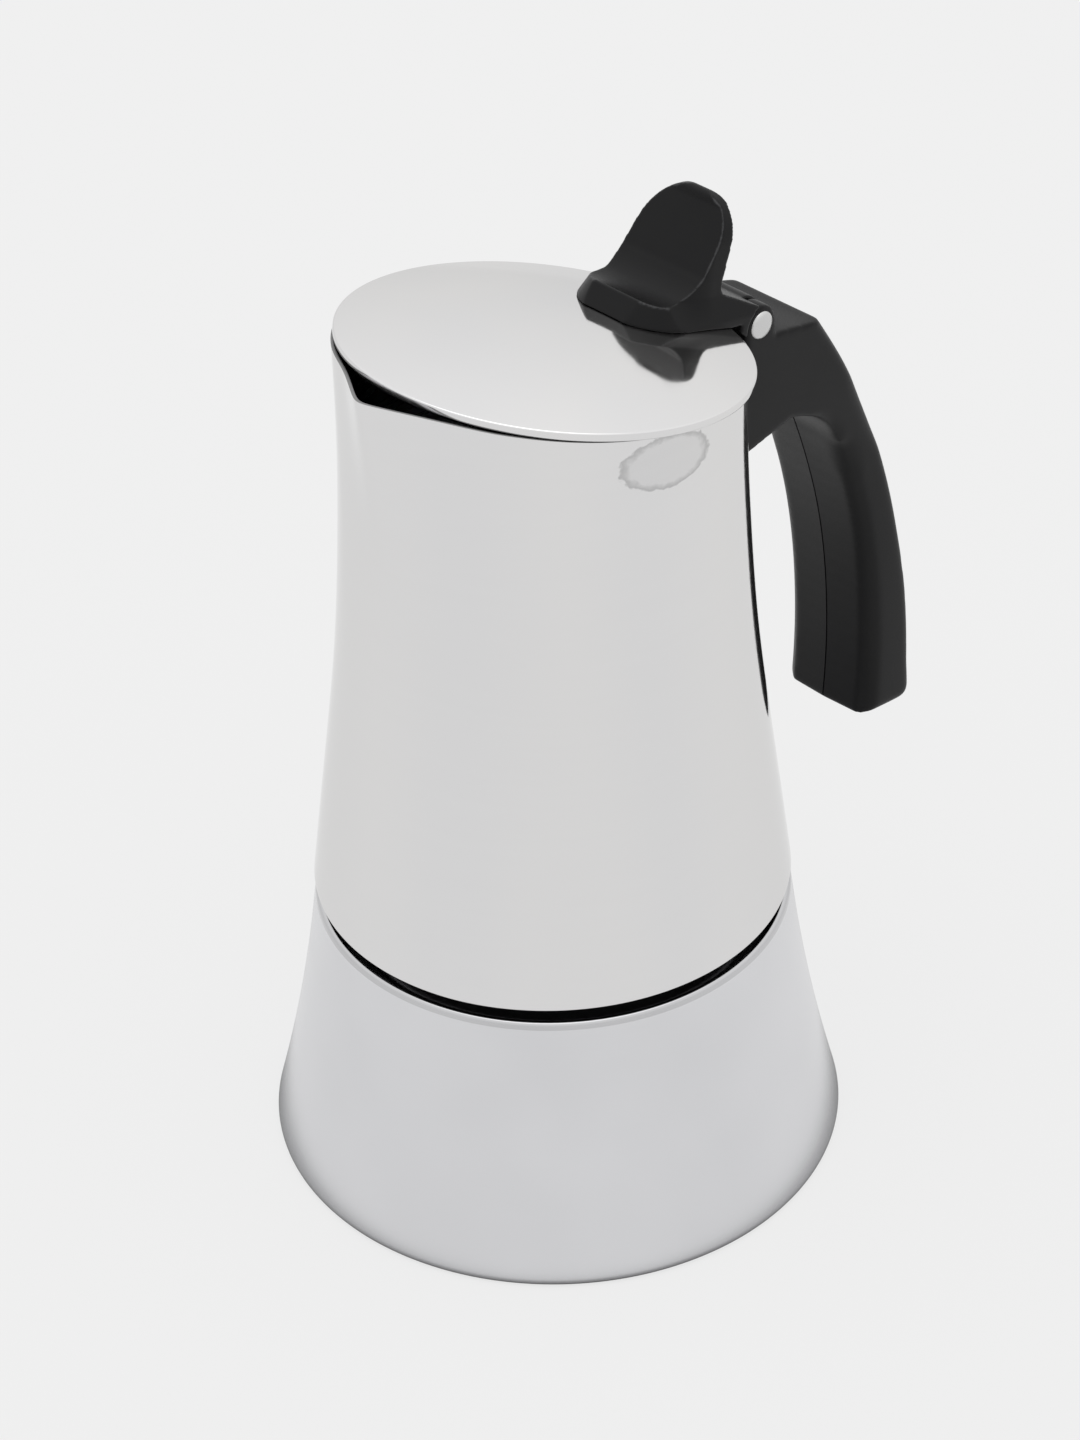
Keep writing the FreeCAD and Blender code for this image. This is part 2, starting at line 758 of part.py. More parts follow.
def dome(reach):
    """Height of the lid's outer face at a distance from its middle."""
    return S.lid_sag - dome_radius + root(dome_radius * dome_radius - reach * reach)


def on_lid(item):
    """Tilt a piece with the lid and set it on the rim."""
    item.Placement = FreeCAD.Placement(Vector(0, 0, 0), FreeCAD.Rotation(Vector(0, 1, 0), 1))
    bind(item, "Placement.Rotation.Angle", S.lid_tilt)
    place(item, lid_x, 0, lid_z)
    return item


half_way = S.lid_radius / 2
hem_inside = S.lid_radius - S.hem_width
lid_disc = turned("lid_disc", [
    (0, S.lid_sag),
    (S.lid_radius, 0, (half_way, dome(half_way))),
    (S.lid_radius, -S.hem_height),
    (hem_inside, -S.hem_height),
    (hem_inside, dome(hem_inside) - S.lid_sheet),
    (0, S.lid_sag - S.lid_sheet, (half_way, dome(half_way) - S.lid_sheet)),
])
screw_places = (("first", S.lid_screw_first), ("second", S.lid_screw_second))
screw_hole = S.lid_screw_radius + S.lid_screw_play
through = 4 * S.lid_sag


def screw_openings(name):
    return [cylinder(f"{name}_{which}", screw_hole, through, x=reach, z=-(through / 2))
            for which, reach in screw_places]


nodes["lid_plate"] = on_lid(cut("lid_cut", lid_disc, screw_openings("lid_hole")))

# Thumb lever: its side view, its front view and its plan meet in one form
knob_length = 2 * S.hinge_reach
lever_low = 2 * S.tongue_radius
paddle_crown = S.paddle_height - S.paddle_shoulder
lever_side = slab("lever_side", "XZ_Plane", [
    (S.knob_front, 0),
    (S.knob_front + S.knob_lean, S.knob_lip_height),
    (S.paddle_foot_reach, S.paddle_foot_height, (S.dish_middle_reach, S.dish_middle_height)),
    (S.paddle_top_reach, S.paddle_top_height),
    (S.paddle_top_reach + S.paddle_thickness, S.paddle_top_height,
     (S.paddle_top_reach + S.paddle_thickness / 2, S.paddle_height)),
    (S.notch_reach, S.notch_height),
    (S.notch_reach + S.notch_width, S.arm_top_height),
    (S.hinge_reach - S.tongue_radius * sine(S.arm_slope),
     S.tongue_radius * cosine(S.arm_slope) - S.hinge_drop),
    (S.hinge_reach, -(S.hinge_drop + S.tongue_radius), (S.hinge_reach + S.tongue_radius, -S.hinge_drop)),
    (S.arm_start, -S.arm_drop),
    (S.arm_start, 0),
], 3 * S.knob_half)
lever_front = slab("lever_front", "YZ_Plane", [
    (-S.knob_half, -lever_low),
    (S.knob_half, -lever_low),
    (S.knob_half, S.lid_sag / 2),
    (S.plinth_half, S.plinth_height),
    (S.paddle_half, S.paddle_shoulder),
    corner_arc(0, S.paddle_height, 0, S.paddle_shoulder, S.paddle_half, paddle_crown),
    corner_arc(-S.paddle_half, S.paddle_shoulder, 0, S.paddle_shoulder, -S.paddle_half, paddle_crown),
    (-S.plinth_half, S.plinth_height),
    (-S.knob_half, S.lid_sag / 2),
], 2 * knob_length)
nose_end = S.knob_front + S.knob_nose
lever_plan = slab("lever_plan", "XY_Plane", [
    corner_arc(S.knob_front, 0, nose_end, 0, -S.knob_nose, S.knob_half),
    corner_arc(nose_end, -S.knob_half, nose_end, 0, -S.knob_nose, -S.knob_half),
    (knob_length, -S.knob_half),
    (knob_length, S.knob_half),
    (nose_end, S.knob_half),
], 4 * S.paddle_height)
lever_blank = common("lever_blank", [lever_side, lever_front, lever_plan])
under_dome = turned("under_dome", [
    (0, -S.paddle_height),
    (S.lid_radius, -S.paddle_height),
    (S.lid_radius, 0),
    (0, S.lid_sag, (half_way, dome(half_way))),
])
shoulder_cut = S.ear_radius + S.ear_gap
lever_tools = [under_dome]
for side, low, high in (("near", -(2 * S.knob_half), -(S.tongue_width / 2)),
                        ("far", S.tongue_width / 2, 2 * S.knob_half)):
    lever_tools.append(cylinder(f"lever_{side}_round", shoulder_cut, high - low,
                                x=S.hinge_reach, y=low, z=-S.hinge_drop, axis="Y"))
    lever_tools.append(block(f"lever_{side}_end", (S.hinge_reach, low, -S.paddle_height),
                             (knob_length, high, S.paddle_height)))
    lever_tools.append(block(f"lever_{side}_below", (S.hinge_reach - shoulder_cut, low, -S.paddle_height),
                             (knob_length, high, -S.hinge_drop)))
lever_tools.append(cylinder("lever_bore", S.pin_radius + S.pin_running_gap, 4 * S.knob_half,
                            x=S.hinge_reach, y=-(2 * S.knob_half), z=-S.hinge_drop, axis="Y"))


def screw_seat(reach):
    """Height of the strip's lower face where a screw head bears on it."""
    return dome(reach + S.lid_screw_head_radius) - S.lid_sheet - S.backing_sheet


for which, reach in screw_places:
    lever_tools.append(cylinder(f"lever_hole_{which}", S.lid_screw_radius, S.lid_screw_length,
                                x=reach, z=screw_seat(reach)))
nodes["lid_knob"] = on_lid(cut("lever_cut", lever_blank, lever_tools))

# Strip under the lid and its two screws
strip_top = S.lid_sag - S.lid_sheet
strip_dome = turned("strip_dome", [
    (0, strip_top),
    (hem_inside, dome(hem_inside) - S.lid_sheet, (half_way, dome(half_way) - S.lid_sheet)),
    (hem_inside, dome(hem_inside) - S.lid_sheet - S.backing_sheet),
    (0, strip_top - S.backing_sheet, (half_way, dome(half_way) - S.lid_sheet - S.backing_sheet)),
])
strip_block = block("strip_block", (S.backing_start, -S.backing_half, -through),
                    (S.backing_end, S.backing_half, through))
strip = common("strip", [strip_dome, strip_block])
nodes["lid_backing"] = on_lid(cut("strip_cut", strip, screw_openings("strip_hole")))
screws = []
for which, reach in screw_places:
    screws.append(fuse(f"lid_screw_{which}_turned", [
        cylinder(f"lid_screw_{which}_shank", S.lid_screw_radius, S.lid_screw_length, x=reach,
                 z=screw_seat(reach)),
        cylinder(f"lid_screw_{which}_head", S.lid_screw_head_radius, S.lid_screw_head_height, x=reach,
                 z=screw_seat(reach) - S.lid_screw_head_height),
    ]))
screw_pair = doc.addObject("Part::Compound", "screw_pair")
screw_pair.Links = screws
nodes["lid_screws"] = on_lid(screw_pair)

# Hinge pin with a round head on the near side and a riveted end
handle_half = S.handle_width / 2
nodes["hinge_pin"] = fuse("pin", [
    cylinder("pin_shaft", S.pin_radius, S.handle_width, hinge_x, -handle_half, hinge_z, "Y"),
    cylinder("pin_head", S.pin_head_radius, S.pin_head_height, hinge_x,
             -(handle_half + S.pin_head_height), hinge_z, "Y"),
    cylinder("pin_rivet", S.pin_rivet_radius, S.pin_head_height, hinge_x, handle_half, hinge_z, "Y"),
])

# Bracket bar welded to the pot wall
bracket_half = S.bracket_width / 2
bracket_top = S.bracket_level + S.bracket_height
screw_tip = S.bracket_level + S.handle_screw_grip
bracket_bar = block("bracket_bar", (S.pot_throat_radius / 2, -bracket_half, S.bracket_level),
                    (S.bracket_end, bracket_half, bracket_top))
bracket_hole = cylinder("bracket_hole", S.handle_screw_radius, screw_tip - S.bracket_level,
                        x=S.handle_screw_reach, z=S.bracket_level)
nodes["handle_bracket"] = cut("bracket_cut", bracket_bar, [pot_outside, bracket_hole])

# Screw that holds the handle on the bracket, driven from below
nodes["handle_screw"] = fuse("arm_screw", [
    cylinder("arm_screw_shank", S.handle_screw_radius, screw_tip - S.handle_screw_seat,
             x=S.handle_screw_reach, z=S.handle_screw_seat),
    cylinder("arm_screw_head", S.handle_screw_head_radius, S.handle_screw_head_height,
             x=S.handle_screw_reach, z=S.handle_screw_seat - S.handle_screw_head_height),
])

# Handle: a moulded side view with soft edges down its back and a bowed edge along each side of its inside
grip = new_body("grip")
inner_end = S.grip_end_reach - S.grip_thickness
ear_front = hinge_x - S.ear_radius
ear_back = hinge_x + S.ear_radius
arm_front = S.pot_throat_radius * 0.9
grip_side = draw(sketch_on(grip, "grip_outline", "XZ_Plane"), [
    (arm_front, S.arm_underside),
    (S.arch_start_reach, S.arch_start_height),
    (S.arch_end_reach, S.arch_end_height, (S.arch_middle_reach, S.arch_middle_height)),
    (inner_end, S.grip_bottom, (S.inside_middle_reach, S.inside_middle_height)),
    (S.grip_end_reach - S.grip_corner, S.grip_bottom),
    corner_arc(S.grip_end_reach, S.grip_bottom + S.grip_corner, S.grip_end_reach - S.grip_corner,
               S.grip_bottom + S.grip_corner, S.grip_corner, -S.grip_corner),
    (S.crest_reach, S.crest_height, (S.grip_middle_reach, S.grip_middle_height)),
    (ear_back, S.arm_face_height),
    (ear_back, hinge_z),
    (ear_front, hinge_z, (hinge_x, hinge_z + S.ear_radius)),
    (ear_front, S.arm_front_height),
    (arm_front, S.arm_front_height),
])
grip_pad = pad(grip, "grip_pad", grip_side, S.handle_width, symmetric=True)
doc.recompute()


def side_edges(shape, x, z):
    """Names of the two edges of the side faces that pass through a place in the side view."""
    spots = [Part.Vertex(x.value, side * handle_half.value, z.value) for side in (-1, 1)]
    return [f"Edge{number}" for number, edge in enumerate(shape.Edges, start=1)
            if min(edge.distToShape(spot)[0] for spot in spots) < 0.001]


# The rounding runs on from the back along the foot
soft_edges = grip.newObject("PartDesign::Fillet", "grip_soft_edges")
soft_edges.Base = (grip_pad, side_edges(grip_pad.Shape, S.grip_middle_reach, S.grip_middle_height))
bind(soft_edges, "Radius", S.handle_round)
grip.Tip = soft_edges

# Bowed cutter that follows the inner face and takes off its near edge, and its mirror image for the far edge
cutter = new_body("edge_cutter")
cutter_low = S.grip_bottom - S.inside_run
edge_path = draw(sketch_on(cutter, "edge_path", "XZ_Plane", handle_half), [
    (inner_end, cutter_low),
    (S.arch_end_reach, S.arch_end_height, (S.inside_middle_reach, S.inside_middle_height)),
], closed=False)
spare = S.inside_round
edge_section = draw(sketch_on(cutter, "edge_section", "XY_Plane", cutter_low), [
    (inner_end - spare, -(handle_half + spare)),
    (inner_end + S.inside_round, -(handle_half + spare)),
    (inner_end + S.inside_round, -handle_half),
    (inner_end, S.inside_round - handle_half, (inner_end + S.inside_crown, S.inside_crown - handle_half)),
    (inner_end - spare, S.inside_round - handle_half),
])
edge_sweep = cutter.newObject("PartDesign::AdditivePipe", "edge_sweep")
edge_sweep.Profile = edge_section
edge_sweep.Spine = (edge_path, [])
far_cutter = doc.addObject("Part::Mirroring", "far_cutter")
far_cutter.Source = cutter
far_cutter.Normal = Vector(0, 1, 0)

slot_half = S.tongue_width / 2 + S.ear_side_gap
slot_radius = S.tongue_radius + S.ear_gap
saddle = S.pot_neck_radius + S.saddle_gap
play = S.bracket_play
handle_tools = [
    cutter,
    far_cutter,
    cylinder("saddle_tool", saddle, S.pot_mouth_height),
    cylinder("slot_round", slot_radius, 2 * slot_half, hinge_x, -slot_half, hinge_z, "Y"),
    block("slot_front", (arm_front, -slot_half, hinge_z - slot_radius),
          (hinge_x, slot_half, S.pot_mouth_height)),
    block("slot_above", (hinge_x, -slot_half, hinge_z),
          (ear_back + S.ear_gap, slot_half, S.pot_mouth_height)),
    cylinder("pin_opening", S.pin_radius, 2 * S.handle_width, hinge_x, -S.handle_width, hinge_z, "Y"),
    block("bracket_pocket", (0, -(bracket_half + play), S.bracket_level - play),
          (S.bracket_end + play, bracket_half + play, bracket_top + play)),
    cylinder("screw_opening", S.handle_screw_radius + S.handle_screw_play,
             S.bracket_level - S.handle_screw_seat, x=S.handle_screw_reach, z=S.handle_screw_seat),
    cylinder("screw_well", S.handle_screw_head_radius + S.handle_screw_play,
             S.handle_screw_seat - S.arm_underside + S.handle_screw_head_height, x=S.handle_screw_reach,
             z=S.arm_underside - S.handle_screw_head_height),
]
nodes["handle"] = cut("handle_cut", grip, handle_tools)

doc.recompute()
for item in doc.Objects:
    if {"Invalid", "Error"} & set(item.State):
        raise RuntimeError(f"{item.Name} could not be computed: {item.State}")
for name, item in nodes.items():
    item.Label = name
    if item.Shape.isNull() or not item.Shape.isValid() or not item.Shape.Solids:
        raise RuntimeError(f"{name} has no sound solid")

os.makedirs("parts", exist_ok=True)
for name, item in nodes.items():
    item.Shape.exportStep(f"parts/{name}.step")
    box = item.Shape.BoundBox
    print(f"{name:16s} solids {len(item.Shape.Solids)} volume {item.Shape.Volume:10.1f}"
          f"  x {box.XMin:7.2f} {box.XMax:7.2f}  y {box.YMin:7.2f} {box.YMax:7.2f}"
          f"  z {box.ZMin:7.2f} {box.ZMax:7.2f}")
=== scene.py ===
import math

import bmesh
import bpy
import numpy as np
from mathutils import Matrix, Vector


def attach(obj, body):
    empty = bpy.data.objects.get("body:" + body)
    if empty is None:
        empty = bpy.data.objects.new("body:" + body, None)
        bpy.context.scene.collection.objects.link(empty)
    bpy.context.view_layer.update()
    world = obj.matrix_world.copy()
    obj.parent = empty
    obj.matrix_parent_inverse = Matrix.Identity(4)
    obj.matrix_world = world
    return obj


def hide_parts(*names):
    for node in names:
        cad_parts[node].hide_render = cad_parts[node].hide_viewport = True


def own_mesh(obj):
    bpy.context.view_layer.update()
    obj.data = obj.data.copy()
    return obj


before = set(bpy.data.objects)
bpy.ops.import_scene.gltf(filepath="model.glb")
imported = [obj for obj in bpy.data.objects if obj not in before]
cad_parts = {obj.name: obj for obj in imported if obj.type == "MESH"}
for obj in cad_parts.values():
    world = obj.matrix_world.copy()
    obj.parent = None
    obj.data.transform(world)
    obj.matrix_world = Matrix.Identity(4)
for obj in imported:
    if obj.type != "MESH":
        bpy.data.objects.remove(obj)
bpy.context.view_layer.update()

# Camera: a long lens held above the front left of the pot and turned down on it.
# The film size is given along the tall side of the upright picture.
LENS_MM = 105
FILM_MM = 36
CAMERA_SPOT = (-0.4163, -0.4311, 0.5201)
camera_data = bpy.data.cameras.new("camera")
camera_data.lens = LENS_MM
camera_data.sensor_width = FILM_MM
camera_data.sensor_height = FILM_MM
camera_data.sensor_fit = "VERTICAL"
camera = bpy.data.objects.new("camera", camera_data)
bpy.context.scene.collection.objects.link(camera)
sight = Vector((0.5613, 0.5845, -0.5861)).normalized()
camera_right = Vector((0.7107, -0.7032, -0.0207))
camera_right = (camera_right - sight * camera_right.dot(sight)).normalized()
camera_turn = Matrix((camera_right, camera_right.cross(sight), -sight)).transposed()
camera.matrix_world = Matrix.Translation(CAMERA_SPOT) @ camera_turn.to_4x4()
bpy.context.scene.camera = camera
bpy.context.scene.view_settings.view_transform = "Standard"

# Studio: a wide sheet of pale grey card under the pot, a bright tent of cloth round it and a lamp behind the
# cloth right overhead.
# The card keeps a faint shadow, and mirrors see a painted contact shadow on it right under the edge of the pot.
CARD_HALF = 4.0
CARD_GREY = 0.863
CARD_EVEN = 0.848
CARD_SHADOW = 0.14
CONTACT_REACH = 0.010
CONTACT_DEPTH = 3.5
TENT_AT_CARD = 0.84
TENT_OVERHEAD = 1.02
TENT_FULL_HEIGHT = 0.6
LAMP_CLOTH = 0.8
LAMP_EDGE = 0.80
LAMP_MIDDLE = 0.97


def add_node(tree, kind, inputs=None, **settings):
    """A shader or geometry node with its settings; an input takes a number or another node's socket."""
    made = tree.nodes.new(kind)
    for key, value in settings.items():
        setattr(made, key, value)
    for key, value in (inputs or {}).items():
        if isinstance(value, bpy.types.NodeSocket):
            tree.links.new(value, made.inputs[key])
        else:
            made.inputs[key].default_value = value
    return made


def maths(tree, operation, *values):
    """One sum on numbers or other nodes' values."""
    return add_node(tree, "ShaderNodeMath", dict(enumerate(values)), operation=operation).outputs[0]


def ranged(tree, value, from_low, from_high, to_low=0.0, to_high=1.0):
    """A value brought from one range to another and held inside it."""
    return add_node(tree, "ShaderNodeMapRange", {"Value": value, "From Min": from_low, "From Max": from_high,
                                                 "To Min": to_low, "To Max": to_high}).outputs[0]


def seen_directly(tree, path):
    """One where the camera, a mirror or a clear piece looks, zero where light is gathered."""
    either = maths(tree, "MAXIMUM", path.outputs["Is Camera Ray"], path.outputs["Is Glossy Ray"])
    return maths(tree, "MAXIMUM", either, path.outputs["Is Transmission Ray"])


card_mesh = bpy.data.meshes.new("card")
card_mesh.from_pydata([(-CARD_HALF, -CARD_HALF, 0), (CARD_HALF, -CARD_HALF, 0),
                       (CARD_HALF, CARD_HALF, 0), (-CARD_HALF, CARD_HALF, 0)], [], [(0, 1, 2, 3)])
card = bpy.data.objects.new("card", card_mesh)
bpy.context.scene.collection.objects.link(card)
card_finish = bpy.data.materials.new("pale_card")
card_finish.use_nodes = True
card_tree = card_finish.node_tree
card_tree.nodes.clear()
card_lit = add_node(card_tree, "ShaderNodeBsdfDiffuse", {"Color": (CARD_GREY, CARD_GREY, CARD_GREY, 1)})
card_path = add_node(card_tree, "ShaderNodeLightPath")
# Painted contact shadow: ambient occlusion darkens the card's glow where mirrors see it near the pot.
painted_contact_shadow = add_node(card_tree, "ShaderNodeAmbientOcclusion", {"Distance": CONTACT_REACH}, samples=8)
deepened = maths(card_tree, "POWER", painted_contact_shadow.outputs["AO"], CONTACT_DEPTH)
mirrored = add_node(card_tree, "ShaderNodeMix", {0: card_path.outputs["Is Glossy Ray"], 2: 1.0, 3: deepened},
                    data_type="FLOAT")
card_level = maths(card_tree, "MULTIPLY", mirrored.outputs[0], CARD_EVEN)
card_even = add_node(card_tree, "ShaderNodeEmission", {"Strength": card_level})
card_share = maths(card_tree, "MULTIPLY", seen_directly(card_tree, card_path), 1 - CARD_SHADOW)
card_mix = add_node(card_tree, "ShaderNodeMixShader", {0: card_share, 1: card_lit.outputs[0],
                                                       2: card_even.outputs[0]})
add_node(card_tree, "ShaderNodeOutputMaterial", {"Surface": card_mix.outputs[0]})
card_mesh.materials.append(card_finish)

world = bpy.data.worlds.new("tent")
bpy.context.scene.world = world
world.use_nodes = True
tent = world.node_tree
tent.nodes.clear()
tent_way = add_node(tent, "ShaderNodeTexCoord")
tent_height = add_node(tent, "ShaderNodeSeparateXYZ", {0: tent_way.outputs["Generated"]}).outputs["Z"]
tent_rise = ranged(tent, tent_height, 0.0, TENT_FULL_HEIGHT, TENT_AT_CARD, TENT_OVERHEAD)
tent_lamp = ranged(tent, tent_height, LAMP_EDGE, LAMP_MIDDLE, 0.0, LAMP_CLOTH)
tent_light = add_node(tent, "ShaderNodeBackground", {"Color": (1, 1, 1, 1),
                                                     "Strength": maths(tent, "ADD", tent_rise, tent_lamp)})
add_node(tent, "ShaderNodeOutputWorld", {"Surface": tent_light.outputs[0]})

# Boiler: a bell drawn from one sheet of stainless steel, rounded over at the shoulder and at the foot.
# It is brushed round and round to a satin finish, and a narrow bead at the shoulder is polished; the bead and the
# shoulder top above it are coloured darker as painted shade under the pot's skirt.
MM = 0.001
BASE_RADIUS = 52.6
SEAM_RADIUS = 49.7
WAIST = (46.3, 29.6)
SHOULDER = 52.9
SHOULDER_RADIUS = 43.0
NECK_HOLE = 36.02
FOOT_ROUND = 1.1
SHOULDER_ROUND = 0.9
INNER_ROUND = 1.2
BEAD_FOOT = 51.4


def new_group(name, *inputs):
    """A node group that makes a piece, its input node and the identifiers of its named inputs."""
    tree = bpy.data.node_groups.new(name, "GeometryNodeTree")
    labels = {}
    for label, kind in (("Blank", "Geometry"), *inputs, ("Finish", "Material")):
        socket = tree.interface.new_socket(label, in_out="INPUT", socket_type="NodeSocket" + kind)
        labels[label] = socket.identifier
    tree.interface.new_socket("Piece", in_out="OUTPUT", socket_type="NodeSocketGeometry")
    return tree, add_node(tree, "NodeGroupInput"), labels


def hand_out(tree, given, geometry):
    """Ends a node group with real geometry in the finish it was given."""
    real = add_node(tree, "GeometryNodeRealizeInstances", {0: geometry})
    painted = add_node(tree, "GeometryNodeSetMaterial", {"Geometry": real.outputs[0],
                                                         "Material": given.outputs["Finish"]})
    add_node(tree, "NodeGroupOutput", {0: painted.outputs[0]})


def turned_tree():
    """Turns a section, drawn as points in the XZ plane, once round the Z axis."""
    tree, given, labels = new_group("turned_on_axis", ("Steps Around", "Int"))
    section, steps = given.outputs["Blank"], given.outputs["Steps Around"]
    count = add_node(tree, "GeometryNodeAttributeDomainSize", {0: section})
    ends = maths(tree, "ADD", steps, 1.0)
    grid = add_node(tree, "GeometryNodeMeshGrid", {"Vertices X": count.outputs["Point Count"],
                                                   "Vertices Y": ends})
    index = add_node(tree, "GeometryNodeInputIndex").outputs[0]
    row = maths(tree, "FLOOR", maths(tree, "DIVIDE", maths(tree, "ADD", index, 0.5), ends))
    share = maths(tree, "DIVIDE", maths(tree, "MODULO", index, ends), steps)
    spot = add_node(tree, "GeometryNodeSampleIndex", data_type="FLOAT_VECTOR", domain="POINT")
    tree.links.new(section, spot.inputs["Geometry"])
    tree.links.new(add_node(tree, "GeometryNodeInputPosition").outputs[0], spot.inputs["Value"])
    tree.links.new(row, spot.inputs["Index"])
    swung = add_node(tree, "ShaderNodeVectorRotate", {
        "Vector": spot.outputs[0], "Angle": maths(tree, "MULTIPLY", share, 2 * math.pi)}, rotation_type="Z_AXIS")
    shaped = add_node(tree, "GeometryNodeSetPosition", {"Geometry": grid.outputs["Mesh"],
                                                        "Position": swung.outputs[0]})
    closed = add_node(tree, "GeometryNodeMergeByDistance", {"Geometry": shaped.outputs[0], "Distance": 1e-6})
    hand_out(tree, given, closed.outputs[0])
    return tree, labels


TURNED, TURNED_INPUTS = turned_tree()


def settle(source, name, finish, sharp):
    """The evaluated mesh of an object as a plain piece of one finish at the origin; the object itself goes."""
    graph = bpy.context.evaluated_depsgraph_get()
    mesh = bpy.data.meshes.new_from_object(source.evaluated_get(graph), depsgraph=graph)
    mesh.name = name
    bpy.data.objects.remove(source)
    clean = bmesh.new()
    clean.from_mesh(mesh)
    bmesh.ops.delete(clean, geom=[edge for edge in clean.edges if edge.is_wire], context="EDGES")
    clean.to_mesh(mesh)
    clean.free()
    mesh.materials.clear()
    mesh.materials.append(finish)
    mesh.shade_smooth()
    mesh.set_sharp_from_angle(angle=math.radians(sharp))
    piece = bpy.data.objects.new(name, mesh)
    bpy.context.scene.collection.objects.link(piece)
    return piece


def grown(name, group, labels, sizes, finish, sharp=35, points=(), edges=()):
    """A piece made by a node group from its named sizes, and from a line of points if it takes one."""
    blank = bpy.data.meshes.new(name + "_blank")
    blank.from_pydata(points, edges, [])
    source = bpy.data.objects.new(name + "_blank", blank)
    bpy.context.scene.collection.objects.link(source)
    modifier = source.modifiers.new("made", "NODES")
    modifier.node_group = group
    for label, value in {**sizes, "Finish": finish}.items():
        modifier[labels[label]] = value
    return settle(source, name, finish, sharp)


def turn(name, section, finish, steps=192, sharp=35, place=None):
    """A piece turned from a closed section in millimetres."""
    area = sum(a[0] * b[1] - b[0] * a[1] for a, b in zip(section, section[1:] + section[:1]))
    ordered = section if area < 0 else section[::-1]
    points = [(r * MM, 0, z * MM) for r, z in ordered + ordered[:1]]
    edges = [(i, i + 1) for i in range(len(points) - 1)]
    piece = grown(name, TURNED, TURNED_INPUTS, {"Steps Around": steps}, finish, sharp, points, edges)
    if place is not None:
        piece.data.transform(place)
    return piece


def ring_through(first, middle, last):
    """Middle, as a complex number, and radius of the circle through three points."""
    a, b, c = (complex(*p) for p in (first, middle, last))
    w = (c - a) / (b - a)
    centre = a + (b - a) * (w - abs(w) ** 2) / (2j * w.imag)
    return centre, abs(a - centre)


def arc_through(first, middle, last, steps):
    """Points on the round arc through three points, both ends included."""
    centre, radius = ring_through(first, middle, last)
    start, via, end = (np.angle(complex(*p) - centre) for p in (first, middle, last))
    swing = (end - start) % (2 * math.pi)
    if (via - start) % (2 * math.pi) > swing:
        swing -= 2 * math.pi
    turns = [start + swing * i / steps for i in range(steps + 1)]
    return [(centre.real + radius * math.cos(t), centre.imag + radius * math.sin(t)) for t in turns]


def quarter(centre, radius, start, end, steps=8):
    """Points on an arc given by its middle, radius and two angles in degrees."""
    angles = np.radians(np.linspace(start, end, steps + 1))
    return [(centre[0] + radius * math.cos(t), centre[1] + radius * math.sin(t)) for t in angles]


def softened(points, spacing, passes):
    """A run of points spaced evenly and eased at its corners, with both ends kept."""
    line = np.array(points, float)
    run = np.concatenate([[0], np.cumsum(np.linalg.norm(np.diff(line, axis=0), axis=1))])
    even = np.linspace(0, run[-1], int(run[-1] / spacing) + 1)
    line = np.stack([np.interp(even, run, line[:, k]) for k in range(2)], axis=1)
    for _ in range(passes):
        line[1:-1] = line[1:-1] * 0.5 + (line[:-2] + line[2:]) * 0.25
    return [tuple(p) for p in line]


def new_finish(name, colour, roughness, metallic=0.0):
    """A material with the shader's steady values set on its own sockets."""
    finish = bpy.data.materials.new(name)
    finish.use_nodes = True
    shader = finish.node_tree.nodes["Principled BSDF"]
    shader.inputs["Base Color"].default_value = (*colour, 1)
    shader.inputs["Roughness"].default_value = roughness
    shader.inputs["Metallic"].default_value = metallic
    return finish, finish.node_tree, shader


def grain(tree, scale, detail=2.0, rough=0.5):
    """Noise over the piece's own coordinates, stretched by a scale for each axis."""
    spot = add_node(tree, "ShaderNodeTexCoord")
    stretch = add_node(tree, "ShaderNodeMapping", {"Vector": spot.outputs["Object"], "Scale": scale})
    return add_node(tree, "ShaderNodeTexNoise", {"Vector": stretch.outputs[0], "Scale": 1.0, "Detail": detail,
                                                 "Roughness": rough}).outputs["Fac"]


def spread(tree, value, low=0.0, high=1.0):
    """Noise brought from its usual middle range to lie between two values."""
    return ranged(tree, value, 0.3, 0.7, low, high)


def blend_colours(tree, value, low, high):
    """A colour between two, by a value from zero to one; a colour may be another node's."""
    first, second = (end if isinstance(end, bpy.types.NodeSocket) else (*end, 1) for end in (low, high))
    return add_node(tree, "ShaderNodeMix", {0: value, 6: first, 7: second}, data_type="RGBA").outputs[2]


def relief(tree, shader, value, depth):
    """Fine relief on the surface, its depth in metres."""
    bump = add_node(tree, "ShaderNodeBump", {"Height": value, "Distance": depth, "Strength": 1.0})
    tree.links.new(bump.outputs[0], shader.inputs["Normal"])


def steel(name, low, high, gloss, strokes, depth):
    """Steel with brush strokes: two tones, a range of roughness, the strokes' scale and their depth."""
    finish, tree, shader = new_finish(name, low, gloss[0], 1.0)
    stroke = grain(tree, strokes, 3.0, 0.6)
    cloud = spread(tree, grain(tree, (28, 28, 28)))
    tree.links.new(blend_colours(tree, cloud, low, high), shader.inputs["Base Color"])
    tree.links.new(spread(tree, stroke, *gloss), shader.inputs["Roughness"])
    if depth:
        relief(tree, shader, stroke, depth)
    return finish


